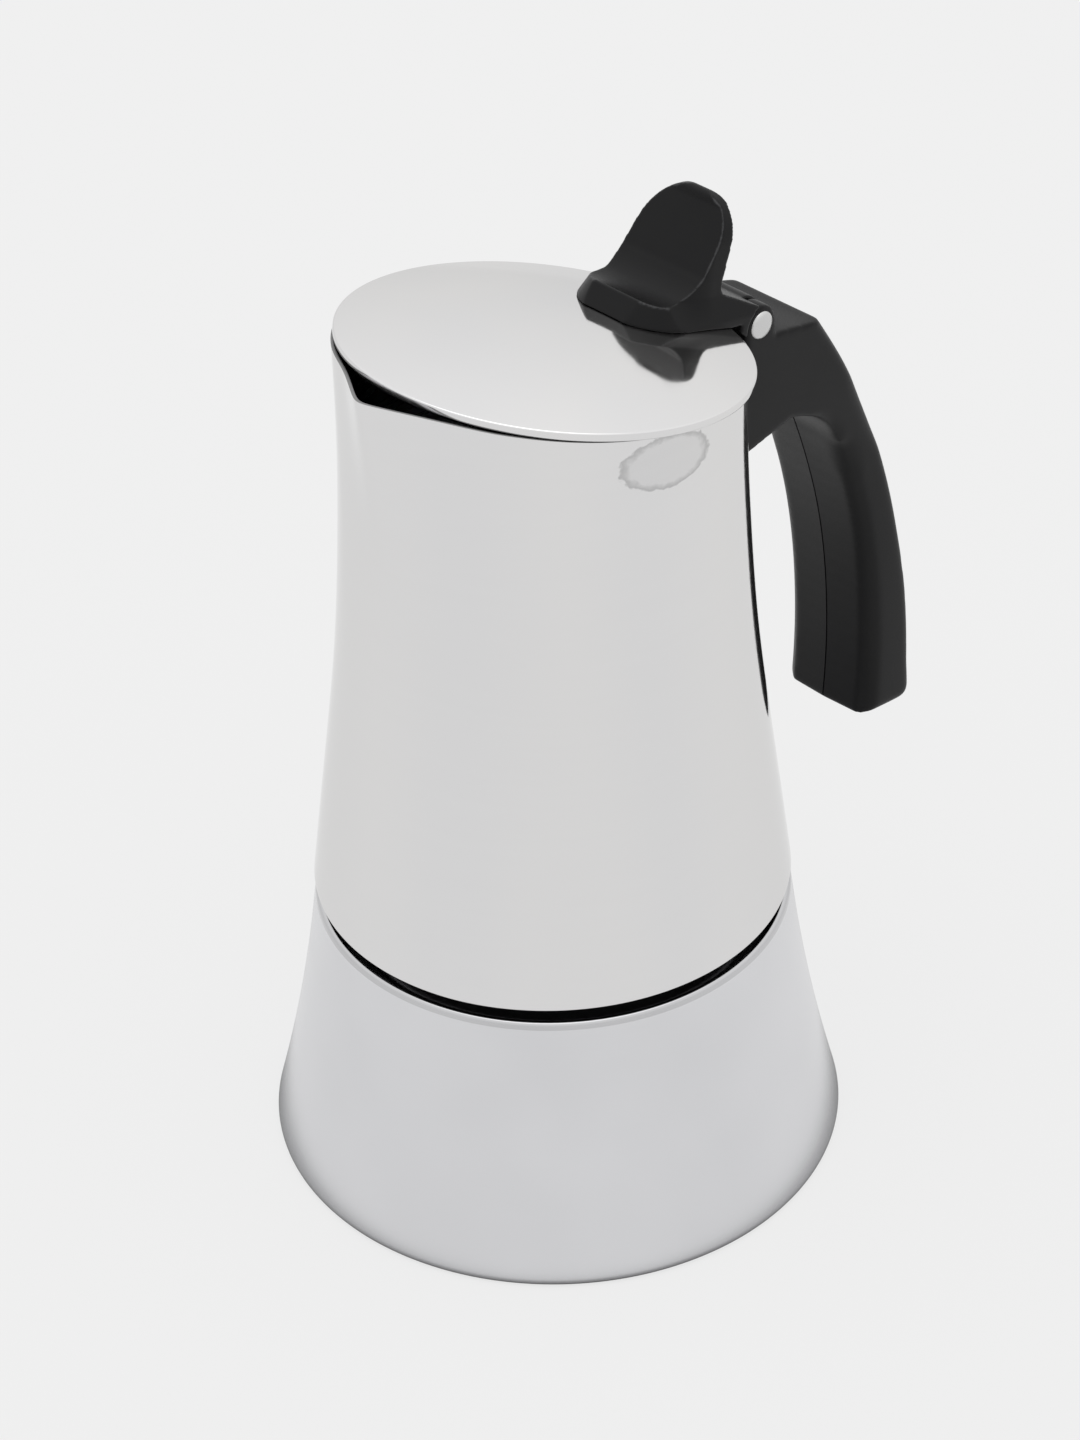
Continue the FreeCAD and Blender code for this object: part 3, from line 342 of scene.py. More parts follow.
satin_steel = steel("satin_steel", (0.706, 0.707, 0.724), (0.748, 0.749, 0.766), (0.24, 0.27),
                    (14, 14, 2400), 0)
bead_steel_painted_shade = steel("bead_steel_painted_shade", (0.55, 0.55, 0.56), (0.60, 0.60, 0.61), (0.08, 0.14), (20, 20, 2400), 0)
foot_middle = (BASE_RADIUS - FOOT_ROUND, FOOT_ROUND)
shoulder_middle = (SHOULDER_RADIUS - SHOULDER_ROUND, SHOULDER - SHOULDER_ROUND)
bell_outside = ([(SEAM_RADIUS, 0), (BASE_RADIUS - FOOT_ROUND, 0)] + quarter(foot_middle, FOOT_ROUND, -90, 0)
                + arc_through((BASE_RADIUS, FOOT_ROUND), WAIST, (SHOULDER_RADIUS, SHOULDER - SHOULDER_ROUND), 60)
                + quarter(shoulder_middle, SHOULDER_ROUND, 0, 90) + [(NECK_HOLE, SHOULDER)])
bell_inside = ([(NECK_HOLE, 52.1), (40.95, 52.1)] + quarter((40.95, 50.9), INNER_ROUND, 90, 0)
               + arc_through((42.15, 50.9), (45.5, 29.6), (51.6, 2.2), 30)
               + quarter((50.4, 2.0), INNER_ROUND, 0, -90) + [(SEAM_RADIUS, 0.8)])
bell = turn("satin_bell", softened(bell_outside, spacing=0.2, passes=4) + bell_inside, satin_steel, 256)
bell.data.materials.append(bead_steel_painted_shade)
# Faces above the bead's foot take the darker steel, painted shade under the pot's skirt.
for face in bell.data.polygons:
    face.material_index = int(face.center.z > BEAD_FOOT * MM)
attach(bell, "boiler")
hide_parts("boiler_shell")

# Boiler base: a thick pressed disc of steel, seamed into the foot of the bell, with a ring groove under it.
# It is the face that stands on the hob, so it is left plain and a little rough.
base_steel = steel("base_steel", (0.56, 0.56, 0.57), (0.63, 0.63, 0.64), (0.30, 0.46), (900, 900, 900), 2e-6)
base = turn("base_disc", [(0, 0), (28.5, 0), (28.9, 0.4), (31.1, 0.4), (31.5, 0), (49.4, 0),
                          (SEAM_RADIUS, 0.3), (SEAM_RADIUS, 1.6), (0, 1.6)], base_steel, 128)
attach(base, "boiler")
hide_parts("boiler_bottom")

# Boiler neck: a turned steel ring welded into the shoulder, with a coarse round thread rolled on it.
# It stays unpolished, and its colour is darkened as painted shade under the pot's skirt.
NECK_RADIUS = 36.0
THREAD_PITCH = 4.0
# The neck's dark grey colour is painted shade for the recess under the pot's skirt.
neck_steel_painted_shade = steel("neck_steel_painted_shade", (0.16, 0.16, 0.165), (0.24, 0.24, 0.25), (0.34, 0.50), (60, 60, 3000), 2e-6)
neck = turn("neck_ring", [(34.6, 52.3), (NECK_RADIUS, 52.3), (NECK_RADIUS, 67.5), (35.6, 68.0), (34.9, 68.0),
                          (34.6, 67.7)], neck_steel_painted_shade)
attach(neck, "boiler")
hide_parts("boiler_neck")


def thread_tree():
    """A round ridge wound up the Z axis, right-handed."""
    tree, given, labels = new_group("thread_ridge", ("Radius", "Float"), ("Turns", "Float"), ("Rise", "Float"),
                                    ("Ridge", "Float"))
    path = add_node(tree, "GeometryNodeCurveSpiral", {
        "Resolution": 96, "Rotations": given.outputs["Turns"], "Start Radius": given.outputs["Radius"],
        "End Radius": given.outputs["Radius"], "Height": given.outputs["Rise"], "Reverse": True})
    ridge = add_node(tree, "GeometryNodeCurvePrimitiveCircle", {"Resolution": 10,
                                                                "Radius": given.outputs["Ridge"]})
    swept = add_node(tree, "GeometryNodeCurveToMesh", {"Curve": path.outputs[0], "Fill Caps": True,
                                                       "Profile Curve": ridge.outputs["Curve"]})
    hand_out(tree, given, swept.outputs[0])
    return tree, labels


THREAD, THREAD_INPUTS = thread_tree()


def thread(name, radius, low, high, ridge, finish, start=0.0, pitch=THREAD_PITCH):
    """A wound ridge between two heights in millimetres, begun at an angle in degrees."""
    sizes = {"Radius": radius * MM, "Turns": (high - low) / pitch, "Rise": (high - low) * MM,
             "Ridge": ridge * MM}
    piece = grown(name, THREAD, THREAD_INPUTS, sizes, finish, 50)
    piece.data.transform(Matrix.Translation((0, 0, low * MM)) @ Matrix.Rotation(math.radians(start), 4, "Z"))
    return piece


neck_thread = thread("neck_thread", NECK_RADIUS, 57.0, 66.4, 0.6, neck_steel_painted_shade)
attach(neck_thread, "boiler")

# Safety valve: a steel bush welded through the boiler's wall, a soft washer and a brass body with a hexagon
# for the spanner. A wound steel spring in the body holds the plunger on its seat.
VALVE_HEIGHT = 29.6
SPRING_RADIUS = 2.25
SPRING_LOW = 44.35
SPRING_HIGH = 52.65
SPRING_WIRE = 0.35
SPRING_PITCH = (SPRING_HIGH - SPRING_LOW) / 5
brass, brass_tree, brass_shader = new_finish("turned_brass", (0.72, 0.55, 0.25), 0.3, 1.0)
brass_rings = grain(brass_tree, (120, 5200, 120))
brass_tree.links.new(spread(brass_tree, brass_rings, 0.22, 0.42), brass_shader.inputs["Roughness"])
brass_cloud = spread(brass_tree, grain(brass_tree, (160, 160, 160)))
brass_tree.links.new(blend_colours(brass_tree, brass_cloud, (0.66, 0.48, 0.20), (0.76, 0.59, 0.28)),
                     brass_shader.inputs["Base Color"])
relief(brass_tree, brass_shader, brass_rings, 3e-6)
washer_rubber, washer_tree, washer_shader = new_finish("washer_rubber", (0.09, 0.09, 0.09), 0.7)
relief(washer_tree, washer_shader, grain(washer_tree, (2600, 2600, 2600)), 1.5e-5)
spring_steel = steel("spring_steel", (0.50, 0.50, 0.51), (0.60, 0.60, 0.61), (0.22, 0.36), (900, 900, 900), 1e-6)


def dress(node, finish):
    """Gives a CAD node its finish."""
    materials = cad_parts[node].data.materials
    materials.clear()
    materials.append(finish)


dress("valve_boss", satin_steel)
dress("valve_washer", washer_rubber)
for node in ("valve_body", "valve_seat", "valve_plunger"):
    dress(node, brass)
spring = thread("valve_coil", SPRING_RADIUS, SPRING_LOW, SPRING_HIGH, SPRING_WIRE, spring_steel,
                pitch=SPRING_PITCH)
spring.data.transform(Matrix.Translation((0, 0, VALVE_HEIGHT * MM)) @ Matrix.Rotation(math.radians(-90), 4, "X"))
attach(spring, "boiler")
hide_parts("valve_spring")
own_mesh(spring)

# Coffee funnel: a cup spun from thin steel with a flat flange that hangs on the neck, and a pipe
# pressed into its cone. It lifts out of the boiler.
plain_steel = steel("plain_steel", (0.52, 0.52, 0.53), (0.62, 0.62, 0.63), (0.22, 0.36), (30, 30, 1600), 2e-6)
cup = turn("funnel_cup", [(36.0, 68.0), (36.0, 68.6), (35.8, 68.8), (33.7, 68.8), (33.4, 68.5), (32.6, 46.4),
                          (32.2, 46.0), (30.8, 46.0), (5.0, 40.0), (5.0, 39.3), (30.8, 45.3), (33.0, 45.3),
                          (33.3, 45.7), (34.1, 68.0)], plain_steel, 160)
stem = turn("funnel_pipe", [(4.3, 7.0), (5.0, 7.0), (5.0, 40.0), (4.3, 40.0)], plain_steel, 64)
for piece, node in ((cup, "basket_cup"), (stem, "funnel_stem")):
    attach(piece, "funnel")
    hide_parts(node)

# Sieve in the funnel: a thin disc of plain steel with rows of small punched holes.
# It lies loose on the cup's ledge and carries the ground coffee.
HOLE_ROWS = 25
HOLE_PITCH = 3.0
HOLE_RADIUS = 0.55
HOLE_MARGIN = 2.2


def perforated_tree():
    """A round plate with small holes on an even three-way lattice."""
    tree, given, labels = new_group("perforated_plate", ("Radius", "Float"), ("Margin", "Float"),
                                    ("Hole", "Float"), ("Pitch", "Float"), ("Thickness", "Float"))
    pitch = given.outputs["Pitch"]
    reach = maths(tree, "MULTIPLY", pitch, HOLE_ROWS - 1.0)
    grid = add_node(tree, "GeometryNodeMeshGrid", {"Size X": reach, "Size Y": reach, "Vertices X": HOLE_ROWS,
                                                   "Vertices Y": HOLE_ROWS})
    index = add_node(tree, "GeometryNodeInputIndex").outputs[0]
    odd = maths(tree, "MODULO", maths(tree, "MODULO", index, float(HOLE_ROWS)), 2.0)
    shove = maths(tree, "MULTIPLY", odd, maths(tree, "MULTIPLY", pitch, 0.5))
    place = add_node(tree, "GeometryNodeInputPosition").outputs[0]
    parts = add_node(tree, "ShaderNodeSeparateXYZ", {0: place})
    spot = add_node(tree, "ShaderNodeCombineXYZ", {
        "X": maths(tree, "ADD", parts.outputs["X"], shove),
        "Y": maths(tree, "MULTIPLY", parts.outputs["Y"], math.sqrt(0.75))})
    lattice = add_node(tree, "GeometryNodeSetPosition", {"Geometry": grid.outputs["Mesh"],
                                                         "Position": spot.outputs[0]})
    out = add_node(tree, "ShaderNodeVectorMath", {0: place}, operation="LENGTH")
    limit = maths(tree, "SUBTRACT", given.outputs["Radius"], given.outputs["Margin"])
    inside = maths(tree, "LESS_THAN", out.outputs["Value"], limit)
    hole = add_node(tree, "GeometryNodeCurvePrimitiveCircle", {"Resolution": 12, "Radius": given.outputs["Hole"]})
    holes = add_node(tree, "GeometryNodeInstanceOnPoints", {"Points": lattice.outputs[0], "Selection": inside,
                                                            "Instance": hole.outputs["Curve"]})
    hole_curves = add_node(tree, "GeometryNodeRealizeInstances", {0: holes.outputs[0]})
    edge = add_node(tree, "GeometryNodeCurvePrimitiveCircle", {"Resolution": 120,
                                                               "Radius": given.outputs["Radius"]})
    outline = add_node(tree, "GeometryNodeJoinGeometry")
    tree.links.new(edge.outputs["Curve"], outline.inputs[0])
    tree.links.new(hole_curves.outputs[0], outline.inputs[0])
    face = add_node(tree, "GeometryNodeFillCurve", {"Curve": outline.outputs[0]})
    raised = add_node(tree, "GeometryNodeExtrudeMesh", {"Mesh": face.outputs[0], "Individual": False,
                                                        "Offset Scale": given.outputs["Thickness"]})
    under = add_node(tree, "GeometryNodeFlipFaces", {0: face.outputs[0]})
    both = add_node(tree, "GeometryNodeJoinGeometry")
    tree.links.new(raised.outputs["Mesh"], both.inputs[0])
    tree.links.new(under.outputs[0], both.inputs[0])
    closed = add_node(tree, "GeometryNodeMergeByDistance", {"Geometry": both.outputs[0], "Distance": 1e-6})
    hand_out(tree, given, closed.outputs[0])
    return tree, labels


PERFORATED, PERFORATED_INPUTS = perforated_tree()


def perforated(name, radius, low, thickness, finish):
    """A perforated plate at a height, sizes in millimetres."""
    sizes = {"Radius": radius * MM, "Margin": HOLE_MARGIN * MM, "Hole": HOLE_RADIUS * MM,
             "Pitch": HOLE_PITCH * MM, "Thickness": thickness * MM}
    piece = grown(name, PERFORATED, PERFORATED_INPUTS, sizes, finish)
    piece.data.transform(Matrix.Translation((0, 0, low * MM)))
    return piece


sieve = perforated("coffee_sieve", 32.4, 46.0, 0.6, plain_steel)
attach(sieve, "funnel")
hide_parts("basket_sieve")

# Seal: a moulded ring of pale silicone rubber under the upper pot.
# A rebate in its upper side holds the filter plate.
seal_rubber, seal_tree, seal_shader = new_finish("seal_rubber", (0.75, 0.74, 0.70), 0.62)
seal_cloud = spread(seal_tree, grain(seal_tree, (90, 90, 90)))
seal_tree.links.new(blend_colours(seal_tree, seal_cloud, (0.68, 0.67, 0.62), (0.78, 0.77, 0.73)),
                    seal_shader.inputs["Base Color"])
relief(seal_tree, seal_shader, grain(seal_tree, (1800, 1800, 1800)), 1e-5)
seal = turn("seal_ring", [(27.0, 68.8), (36.3, 68.8), (36.7, 69.2), (36.7, 71.4), (36.3, 71.8), (29.3, 71.8),
                          (29.3, 70.9), (27.0, 70.9)], seal_rubber, 160)
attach(seal, "seal")
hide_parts("gasket")

# Filter plate: a second punched disc of plain steel, held in the seal's rebate.
# It keeps the coffee grounds out of the upper pot.
filter_plate = perforated("filter_disc", 29.0, 70.9, 0.6, plain_steel)
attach(filter_plate, "filter")
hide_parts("filter_plate")

# Upper pot: drawn from thin steel to a tall waisted shell, its front pressed out into a pouring beak and its
# rim cut on a slope. The outside is polished like a mirror, with soft vertical bands of lighter, warmer and
# darker, cooler tone in its colour as painted reflection; the inside is left plain, the skirt inside below the
# floor is coloured near black as painted shade, and the dull cut edge is coloured dark grey as painted shade.
# An oval water mark has dried on the outside, under the lid.
POT_WALL = 0.7
POT_FOOT = 55.95
FLOOR_TOP = 72.6
MOUTH_HEIGHT = 174.0
MOUTH_RADIUS = 34.6
BEAK_FOOT_HEIGHT = 106.5
BEAK_FOOT_RADIUS = 36.7
BEAK_FOOT_HALF = 11.0
BEAK_FOOT_SUNK = 4.0
BEAK_REACH = 7.4
BEAK_WIDTH = 0.92
BEAK_FOLD = 1.1
FOLD_WIDENS = 9.0
FLANK_FALL = 60
VALLEY_ROUND = 0.9
VALLEY_WIDENS = 2.0
RIM_HEIGHT = 161.5
RIM_ROUND = 0.08
RIM_TILT = math.radians(11.2)
RIM_SLOPE = math.tan(RIM_TILT)
LIP_START = 33.0
LIP_BEND = 0.6
LIP_SLOPE = math.tan(math.radians(16.6))
pot_line = np.array([(42.9, POT_FOOT), (40.8, FLOOR_TOP), (39.2, 85.0), (BEAK_FOOT_RADIUS, BEAK_FOOT_HEIGHT),
                     (35.2, 128.0), (34.5, 144.3), (MOUTH_RADIUS, MOUTH_HEIGHT)])


def natural_spline(x, y):
    """A smooth curve through points, straight at its ends, as a function."""
    gaps = np.diff(x)
    system = np.eye(len(x))
    right = np.zeros(len(x))
    for i in range(1, len(x) - 1):
        system[i, i - 1:i + 2] = gaps[i - 1], 2 * (gaps[i - 1] + gaps[i]), gaps[i]
        right[i] = 6 * ((y[i + 1] - y[i]) / gaps[i] - (y[i] - y[i - 1]) / gaps[i - 1])
    bend = np.linalg.solve(system, right)

    def value(at):
        k = np.clip(np.searchsorted(x, at) - 1, 0, len(gaps) - 1)
        h, left, rest = gaps[k], x[k + 1] - at, at - x[k]
        return ((bend[k] * left ** 3 + bend[k + 1] * rest ** 3) / (6 * h)
                + (y[k] / h - bend[k] * h / 6) * left + (y[k + 1] / h - bend[k + 1] * h / 6) * rest)

    return value


pot_radius = natural_spline(pot_line[:, 1], pot_line[:, 0])


def pot_reach(angle, height, inset):
    """Distance of the pot's wall from its axis, with the beak pressed out on the -X side."""
    plain = pot_radius(height) - inset
    share = np.clip((height - BEAK_FOOT_HEIGHT) / (MOUTH_HEIGHT - BEAK_FOOT_HEIGHT), 0, 1)
    mouth = MOUTH_RADIUS - inset
    end_tip = mouth + BEAK_REACH
    end_touch = mouth ** 2 / end_tip
    end_half = BEAK_WIDTH * mouth * math.sqrt(1 - (mouth / end_tip) ** 2)
    foot = BEAK_FOOT_RADIUS - inset
    tip = foot + (end_tip - foot) * share
    touch = foot - BEAK_FOOT_SUNK + (end_touch - foot + BEAK_FOOT_SUNK) * share
    half = BEAK_FOOT_HALF + (end_half - BEAK_FOOT_HALF) * share
    off = np.abs(np.angle(np.exp(1j * (angle - math.pi))))
    near = np.minimum(off, np.arctan2(half, touch))
    fold = np.sqrt(np.sin(near) ** 2 + ((BEAK_FOLD + FOLD_WIDENS * (1 - share)) / tip) ** 2)
    flank = half * tip / (half * np.cos(near) + (tip - touch) * fold) - FLANK_FALL * (off - near) ** 2
    ease = VALLEY_ROUND + VALLEY_WIDENS * (1 - share)
    return (plain + flank + np.sqrt((plain - flank) ** 2 + ease ** 2)) / 2


def rim_height(x):
    """Height of the cut rim, steeper out on the beak's lip."""
    beyond = np.logaddexp(0, (-LIP_START - x) / LIP_BEND) * LIP_BEND
    return RIM_HEIGHT - x * RIM_SLOPE + beyond * (LIP_SLOPE - RIM_SLOPE)


evenly, at_beak = np.linspace(0, 360, 241)[:-1], np.linspace(164, 196, 81)
around = np.radians(np.unique(np.concatenate([evenly, at_beak]).round(3)))


def wall(inset, shares):
    """Rows of points up one face of the wall, from the foot to the sloping rim."""
    top = np.full(len(around), RIM_HEIGHT)
    for _ in range(12):
        top = rim_height(pot_reach(around, top, inset) * np.cos(around)) - RIM_ROUND
    rows = []
    for share in shares:
        height = POT_FOOT + (top - POT_FOOT) * share
        reach = pot_reach(around, height, inset)
        rows.append(np.stack([reach * np.cos(around), reach * np.sin(around), height], axis=1))
    return rows


def rounded_edge(first, last, lift):
    """Three rows that round a sheet's edge over from one face to the other."""
    rows = []
    for share, rise in ((0.12, 0.75), (0.5, 1.0), (0.88, 0.75)):
        row = first * (1 - share) + last * share
        row[:, 2] += rise * lift
        rows.append(row)
    return rows


outer_rows = wall(0.0, np.linspace(0, 1, 91))
inner_rows = wall(POT_WALL, np.linspace(1, 0, 61))
rim_rows = rounded_edge(outer_rows[-1], inner_rows[0], RIM_ROUND)
foot_rows = rounded_edge(inner_rows[-1], outer_rows[0], -RIM_ROUND)
pot_rows = outer_rows + rim_rows + inner_rows + foot_rows
inner_from = len(outer_rows) + len(rim_rows)
columns, row_count = len(around), len(pot_rows)
# The inside below the pot's floor is coloured near black as painted shade, and the rim's cut edge is darkened as
# painted shade.
POLISHED, PLAIN, SHADED_SKIRT, SHADED_CUT = range(4)
pot_faces, pot_marks = [], []
for j in range(row_count):
    below, above = j * columns, (j + 1) % row_count * columns
    for i in range(columns):
        n = (i + 1) % columns
        pot_faces.append((below + i, below + n, above + n, above + i))
        mark = POLISHED
        if len(outer_rows) - 1 <= j < inner_from:
            mark = SHADED_CUT
        elif inner_from <= j < inner_from + len(inner_rows):
            mark = PLAIN if pot_rows[j][i][2] > FLOOR_TOP else SHADED_SKIRT
        pot_marks.append(mark)

polished_steel, polished_tree, polished_shader = new_finish("polished_steel", (0.755, 0.748, 0.745), 0.07, 1.0)
polished_shader.inputs["Specular Tint"].default_value = (0.91, 0.91, 0.91, 1)
# Soft vertical bands of lighter and darker tone in the polished colour: painted reflection of the studio.
painted_reflection_bands = spread(polished_tree, grain(polished_tree, (34, 34, 2.2), 1.0))
tone_with_painted_bands = blend_colours(polished_tree, painted_reflection_bands, (0.745, 0.742, 0.746), (0.775, 0.767, 0.760))
polish_gloss = spread(polished_tree, grain(polished_tree, (40, 40, 900), 3.0, 0.6), 0.05, 0.11)
stain_spot = add_node(polished_tree, "ShaderNodeMapping", {
    "Vector": add_node(polished_tree, "ShaderNodeTexCoord").outputs["Object"],
    "Location": Vector((-4.8, -34.5, 157.5)) * MM, "Rotation": (0, math.radians(7), 0),
    "Scale": Vector((9.4, 20.0, 5.1)) * MM}, vector_type="TEXTURE")
stain_reach = add_node(polished_tree, "ShaderNodeVectorMath", {0: stain_spot.outputs[0]}, operation="LENGTH")
stain_ragged = spread(polished_tree, grain(polished_tree, (700, 700, 700), 4.0, 0.6), -0.06, 0.06)
stain_edge = maths(polished_tree, "ADD", stain_reach.outputs["Value"], stain_ragged)
stain_inside = ranged(polished_tree, stain_edge, 1.0, 0.95)
stain_ring = ranged(polished_tree, stain_edge, 0.76, 0.93)
stain_dark = maths(polished_tree, "MULTIPLY_ADD", stain_ring, 0.25, 0.07)
stain_share = maths(polished_tree, "MULTIPLY", stain_inside, stain_dark)
stained = blend_colours(polished_tree, stain_share, tone_with_painted_bands, (0.02, 0.02, 0.02))
stain_dull = maths(polished_tree, "MULTIPLY_ADD", stain_inside, 0.08, polish_gloss)
polished_tree.links.new(stained, polished_shader.inputs["Base Color"])
polished_tree.links.new(stain_dull, polished_shader.inputs["Roughness"])
# The rim's cut edge is coloured dark grey as painted shade.
cut_edge_painted_shade = steel("cut_edge_painted_shade", (0.16, 0.16, 0.16), (0.24, 0.24, 0.24), (0.30, 0.42), (900, 900, 900), 2e-6)
# The skirt's inside, the threaded ring and its thread are coloured near black as painted shade in the recess.
skirt_steel_painted_shade = steel("skirt_steel_painted_shade", (0.05, 0.05, 0.05), (0.09, 0.09, 0.09), (0.45, 0.60), (60, 60, 1200), 2e-6)
pot_mesh = bpy.data.meshes.new("pot_body")
pot_mesh.from_pydata([tuple(p) for p in np.concatenate(pot_rows) * MM], [], pot_faces)
for finish in (polished_steel, plain_steel, skirt_steel_painted_shade, cut_edge_painted_shade):
    pot_mesh.materials.append(finish)
pot_mesh.polygons.foreach_set("material_index", np.array(pot_marks, np.int32))
pot_mesh.shade_smooth()
pot_mesh.set_sharp_from_angle(angle=math.radians(45))
pot = bpy.data.objects.new("pot_body", pot_mesh)
bpy.context.scene.collection.objects.link(pot)
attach(pot, "upper_pot")
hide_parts("pot_shell")

# Inside the upper pot: a pressed floor with a cone, the riser that stands in the cone's socket, and the
# riser's pressed cap with an outlet to each side. All are plain steel, welded or pushed together.
floor_disc = turn("pot_floor_disc", [(40.1, 71.8), (40.1, 72.6), (26.2, 72.6), (24.0, 73.2), (9.0, 77.3),
                                     (7.3, 78.2), (7.3, 80.4), (7.1, 80.6), (6.5, 80.6), (6.5, 76.8),
                                     (26.0, 71.8)], plain_steel, 160)
riser = turn("riser_pipe", [(5.7, 76.8), (6.5, 76.8), (6.5, 129.7), (6.2, 130.0), (5.7, 130.0)], plain_steel, 64)
for piece, node in ((floor_disc, "pot_floor"), (riser, "riser_tube")):
    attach(piece, "upper_pot")
    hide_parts(node)
dress("riser_cap", plain_steel)

# Threaded ring: dull turned steel, welded under the pot's floor, coloured near black as painted shade.
# The round thread inside it runs on the boiler's neck, half a turn from the neck's own ridge.
COLLAR_BORE = 37.2
collar = turn("collar_ring", [(COLLAR_BORE, 59.3), (38.9, 59.3), (39.2, 59.6), (39.2, 71.8), (COLLAR_BORE, 71.8)],
              skirt_steel_painted_shade)
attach(collar, "upper_pot")
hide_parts("pot_collar")
collar_thread = thread("collar_thread", COLLAR_BORE, 61.0, 68.2, 0.5, skirt_steel_painted_shade, start=180)
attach(collar_thread, "upper_pot")

# Bracket: a steel bar welded to the pot's wall.
# The handle is pushed over it and held by one screw from below.
for node in ("handle_bracket", "handle_screw"):
    dress(node, plain_steel)

# Handle: one heavy moulding in black thermoset plastic with a matte skin, soft edges and two ears for the
# hinge pin. It narrows a little toward its inner face, where the mould's parting line runs down the middle.
ARCH_END = (64.5, 120.5)
INNER_FACE = ((63.7, 118.8), (71.6, 93.3), (73.3, 54.0))
OUTER_FACE = ((57.6, 148.6), (77.7, 106.0), (84.8, 57.0))
GRIP_FROM = 55
SEAM_HALF = 0.16
SEAM_DEPTH = 0.6
INNER_NARROWS = 0.06
INNER_CROWN = 0.5
INNER_SHIFT = 0.5
BACK_SHIFT = 0.4
HEEL_OUT = 0.4
HEEL_DOWN = 0.5
CREST_DOWN = 0.8
black_plastic, plastic_tree, plastic_shader = new_finish("black_plastic", (0.0065, 0.0065, 0.007), 0.45)
plastic_shader.inputs["Specular IOR Level"].default_value = 0.18
skin = grain(plastic_tree, (5200, 5200, 5200))
plastic_cloud = spread(plastic_tree, grain(plastic_tree, (70, 70, 70)))
plastic_tone = blend_colours(plastic_tree, plastic_cloud, (0.0034, 0.0034, 0.0038), (0.0048, 0.0047, 0.0051))
# Paler colour on edges that carry the attribute: partly wear, partly a painted edge highlight.
wear_and_painted_highlight = add_node(plastic_tree, "ShaderNodeAttribute", attribute_name="wear_and_painted_highlight")
wear_and_painted_highlight_tone = blend_colours(plastic_tree, wear_and_painted_highlight.outputs["Fac"], plastic_tone, (0.050, 0.050, 0.052))
plastic_tree.links.new(wear_and_painted_highlight_tone, plastic_shader.inputs["Base Color"])
plastic_tree.links.new(spread(plastic_tree, skin, 0.33, 0.46), plastic_shader.inputs["Roughness"])
relief(plastic_tree, plastic_shader, skin, 6e-6)


def moulded(name, node, voxel, passes, finish):
    """A moulding with soft edges, grown over the CAD node of the same shape."""
    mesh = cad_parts[node].data.copy()
    body = bmesh.new()
    body.from_mesh(mesh)
    bmesh.ops.remove_doubles(body, verts=body.verts, dist=1e-6)
    body.to_mesh(mesh)
    body.free()
    source = bpy.data.objects.new(name + "_blank", mesh)
    bpy.context.scene.collection.objects.link(source)
    skin_over = source.modifiers.new("skin", "REMESH")
    skin_over.mode = "VOXEL"
    skin_over.voxel_size = voxel * MM
    soft = source.modifiers.new("soft", "SMOOTH")
    soft.factor = 0.5
    soft.iterations = passes
    return settle(source, name, finish, 80)


def spots_of(piece):
    """The piece's points in millimetres, one row each."""
    spots = np.empty(len(piece.data.vertices) * 3)
    piece.data.vertices.foreach_get("co", spots)
    return spots.reshape(-1, 3) / MM


def move_spots(piece, spots, sharp):
    """Puts points in millimetres back in the piece and shades it anew."""
    piece.data.vertices.foreach_set("co", (spots * MM).ravel())
    piece.data.update()
    piece.data.shade_smooth()
    piece.data.set_sharp_from_angle(angle=math.radians(sharp))


def eased(value, low, high):
    """Zero at one value, one at the other, and a soft step between."""
    share = np.clip((value - low) / (high - low), 0, 1)
    return share ** 2 * (3 - 2 * share)


def toward_neighbours(piece, spots):
    """From each point of a piece to the mean of the points it shares an edge with."""
    ends = np.empty(len(piece.data.edges) * 2, np.int32)
    piece.data.edges.foreach_get("vertices", ends)
    one, other = ends.reshape(-1, 2).T
    sums = [np.bincount(one, spots[other, k], len(spots)) + np.bincount(other, spots[one, k], len(spots))
            for k in range(3)]
    count = np.maximum(np.bincount(ends, minlength=len(spots)), 1)
    return np.stack(sums, axis=1) / count[:, None] - spots


def rubbed(piece, weight, passes):
    """Smooths a piece where its points have weight."""
    spots = spots_of(piece)
    for _ in range(passes):
        spots += 0.5 * weight[:, None] * toward_neighbours(piece, spots)
    move_spots(piece, spots, 80)


handle = moulded("moulded_handle", "handle", 0.40, 12, black_plastic)
spots = spots_of(handle)
from_arch = np.hypot(spots[:, 0] - ARCH_END[0], spots[:, 2] - ARCH_END[1])
rubbed(handle, eased(from_arch, 13, 6) * eased(np.abs(spots[:, 1]), 5, 8), passes=50)
split = bmesh.new()
split.from_mesh(handle.data)
for level in (-SEAM_HALF, 0, SEAM_HALF):
    bmesh.ops.bisect_plane(split, geom=split.verts[:] + split.edges[:] + split.faces[:], dist=1e-6,
                           plane_co=(0, level * MM, 0), plane_no=(0, 1, 0))
split.to_mesh(handle.data)
split.free()
spots = spots_of(handle)
side_view = spots[:, 0] + 1j * spots[:, 2]
inner_middle, inner_radius = ring_through(*INNER_FACE)
outer_middle, outer_radius = ring_through(*OUTER_FACE)
from_inside = np.maximum(np.abs(side_view - inner_middle) - inner_radius, 0)
from_back = np.maximum(outer_radius - np.abs(side_view - outer_middle), 0)
inward = 1 - np.clip(from_inside / (from_inside + from_back + 1e-6), 0, 1)
height = spots[:, 2].copy()
below_arm = eased(height, 126, 106) * (spots[:, 0] > GRIP_FROM)
seam = np.clip(1 - np.abs(spots[:, 1]) / SEAM_HALF, 0, 1) * (from_inside < 1.5) * (below_arm > 0.02)
heel = eased(height, 63, 56) * eased(spots[:, 0], 75, 84)
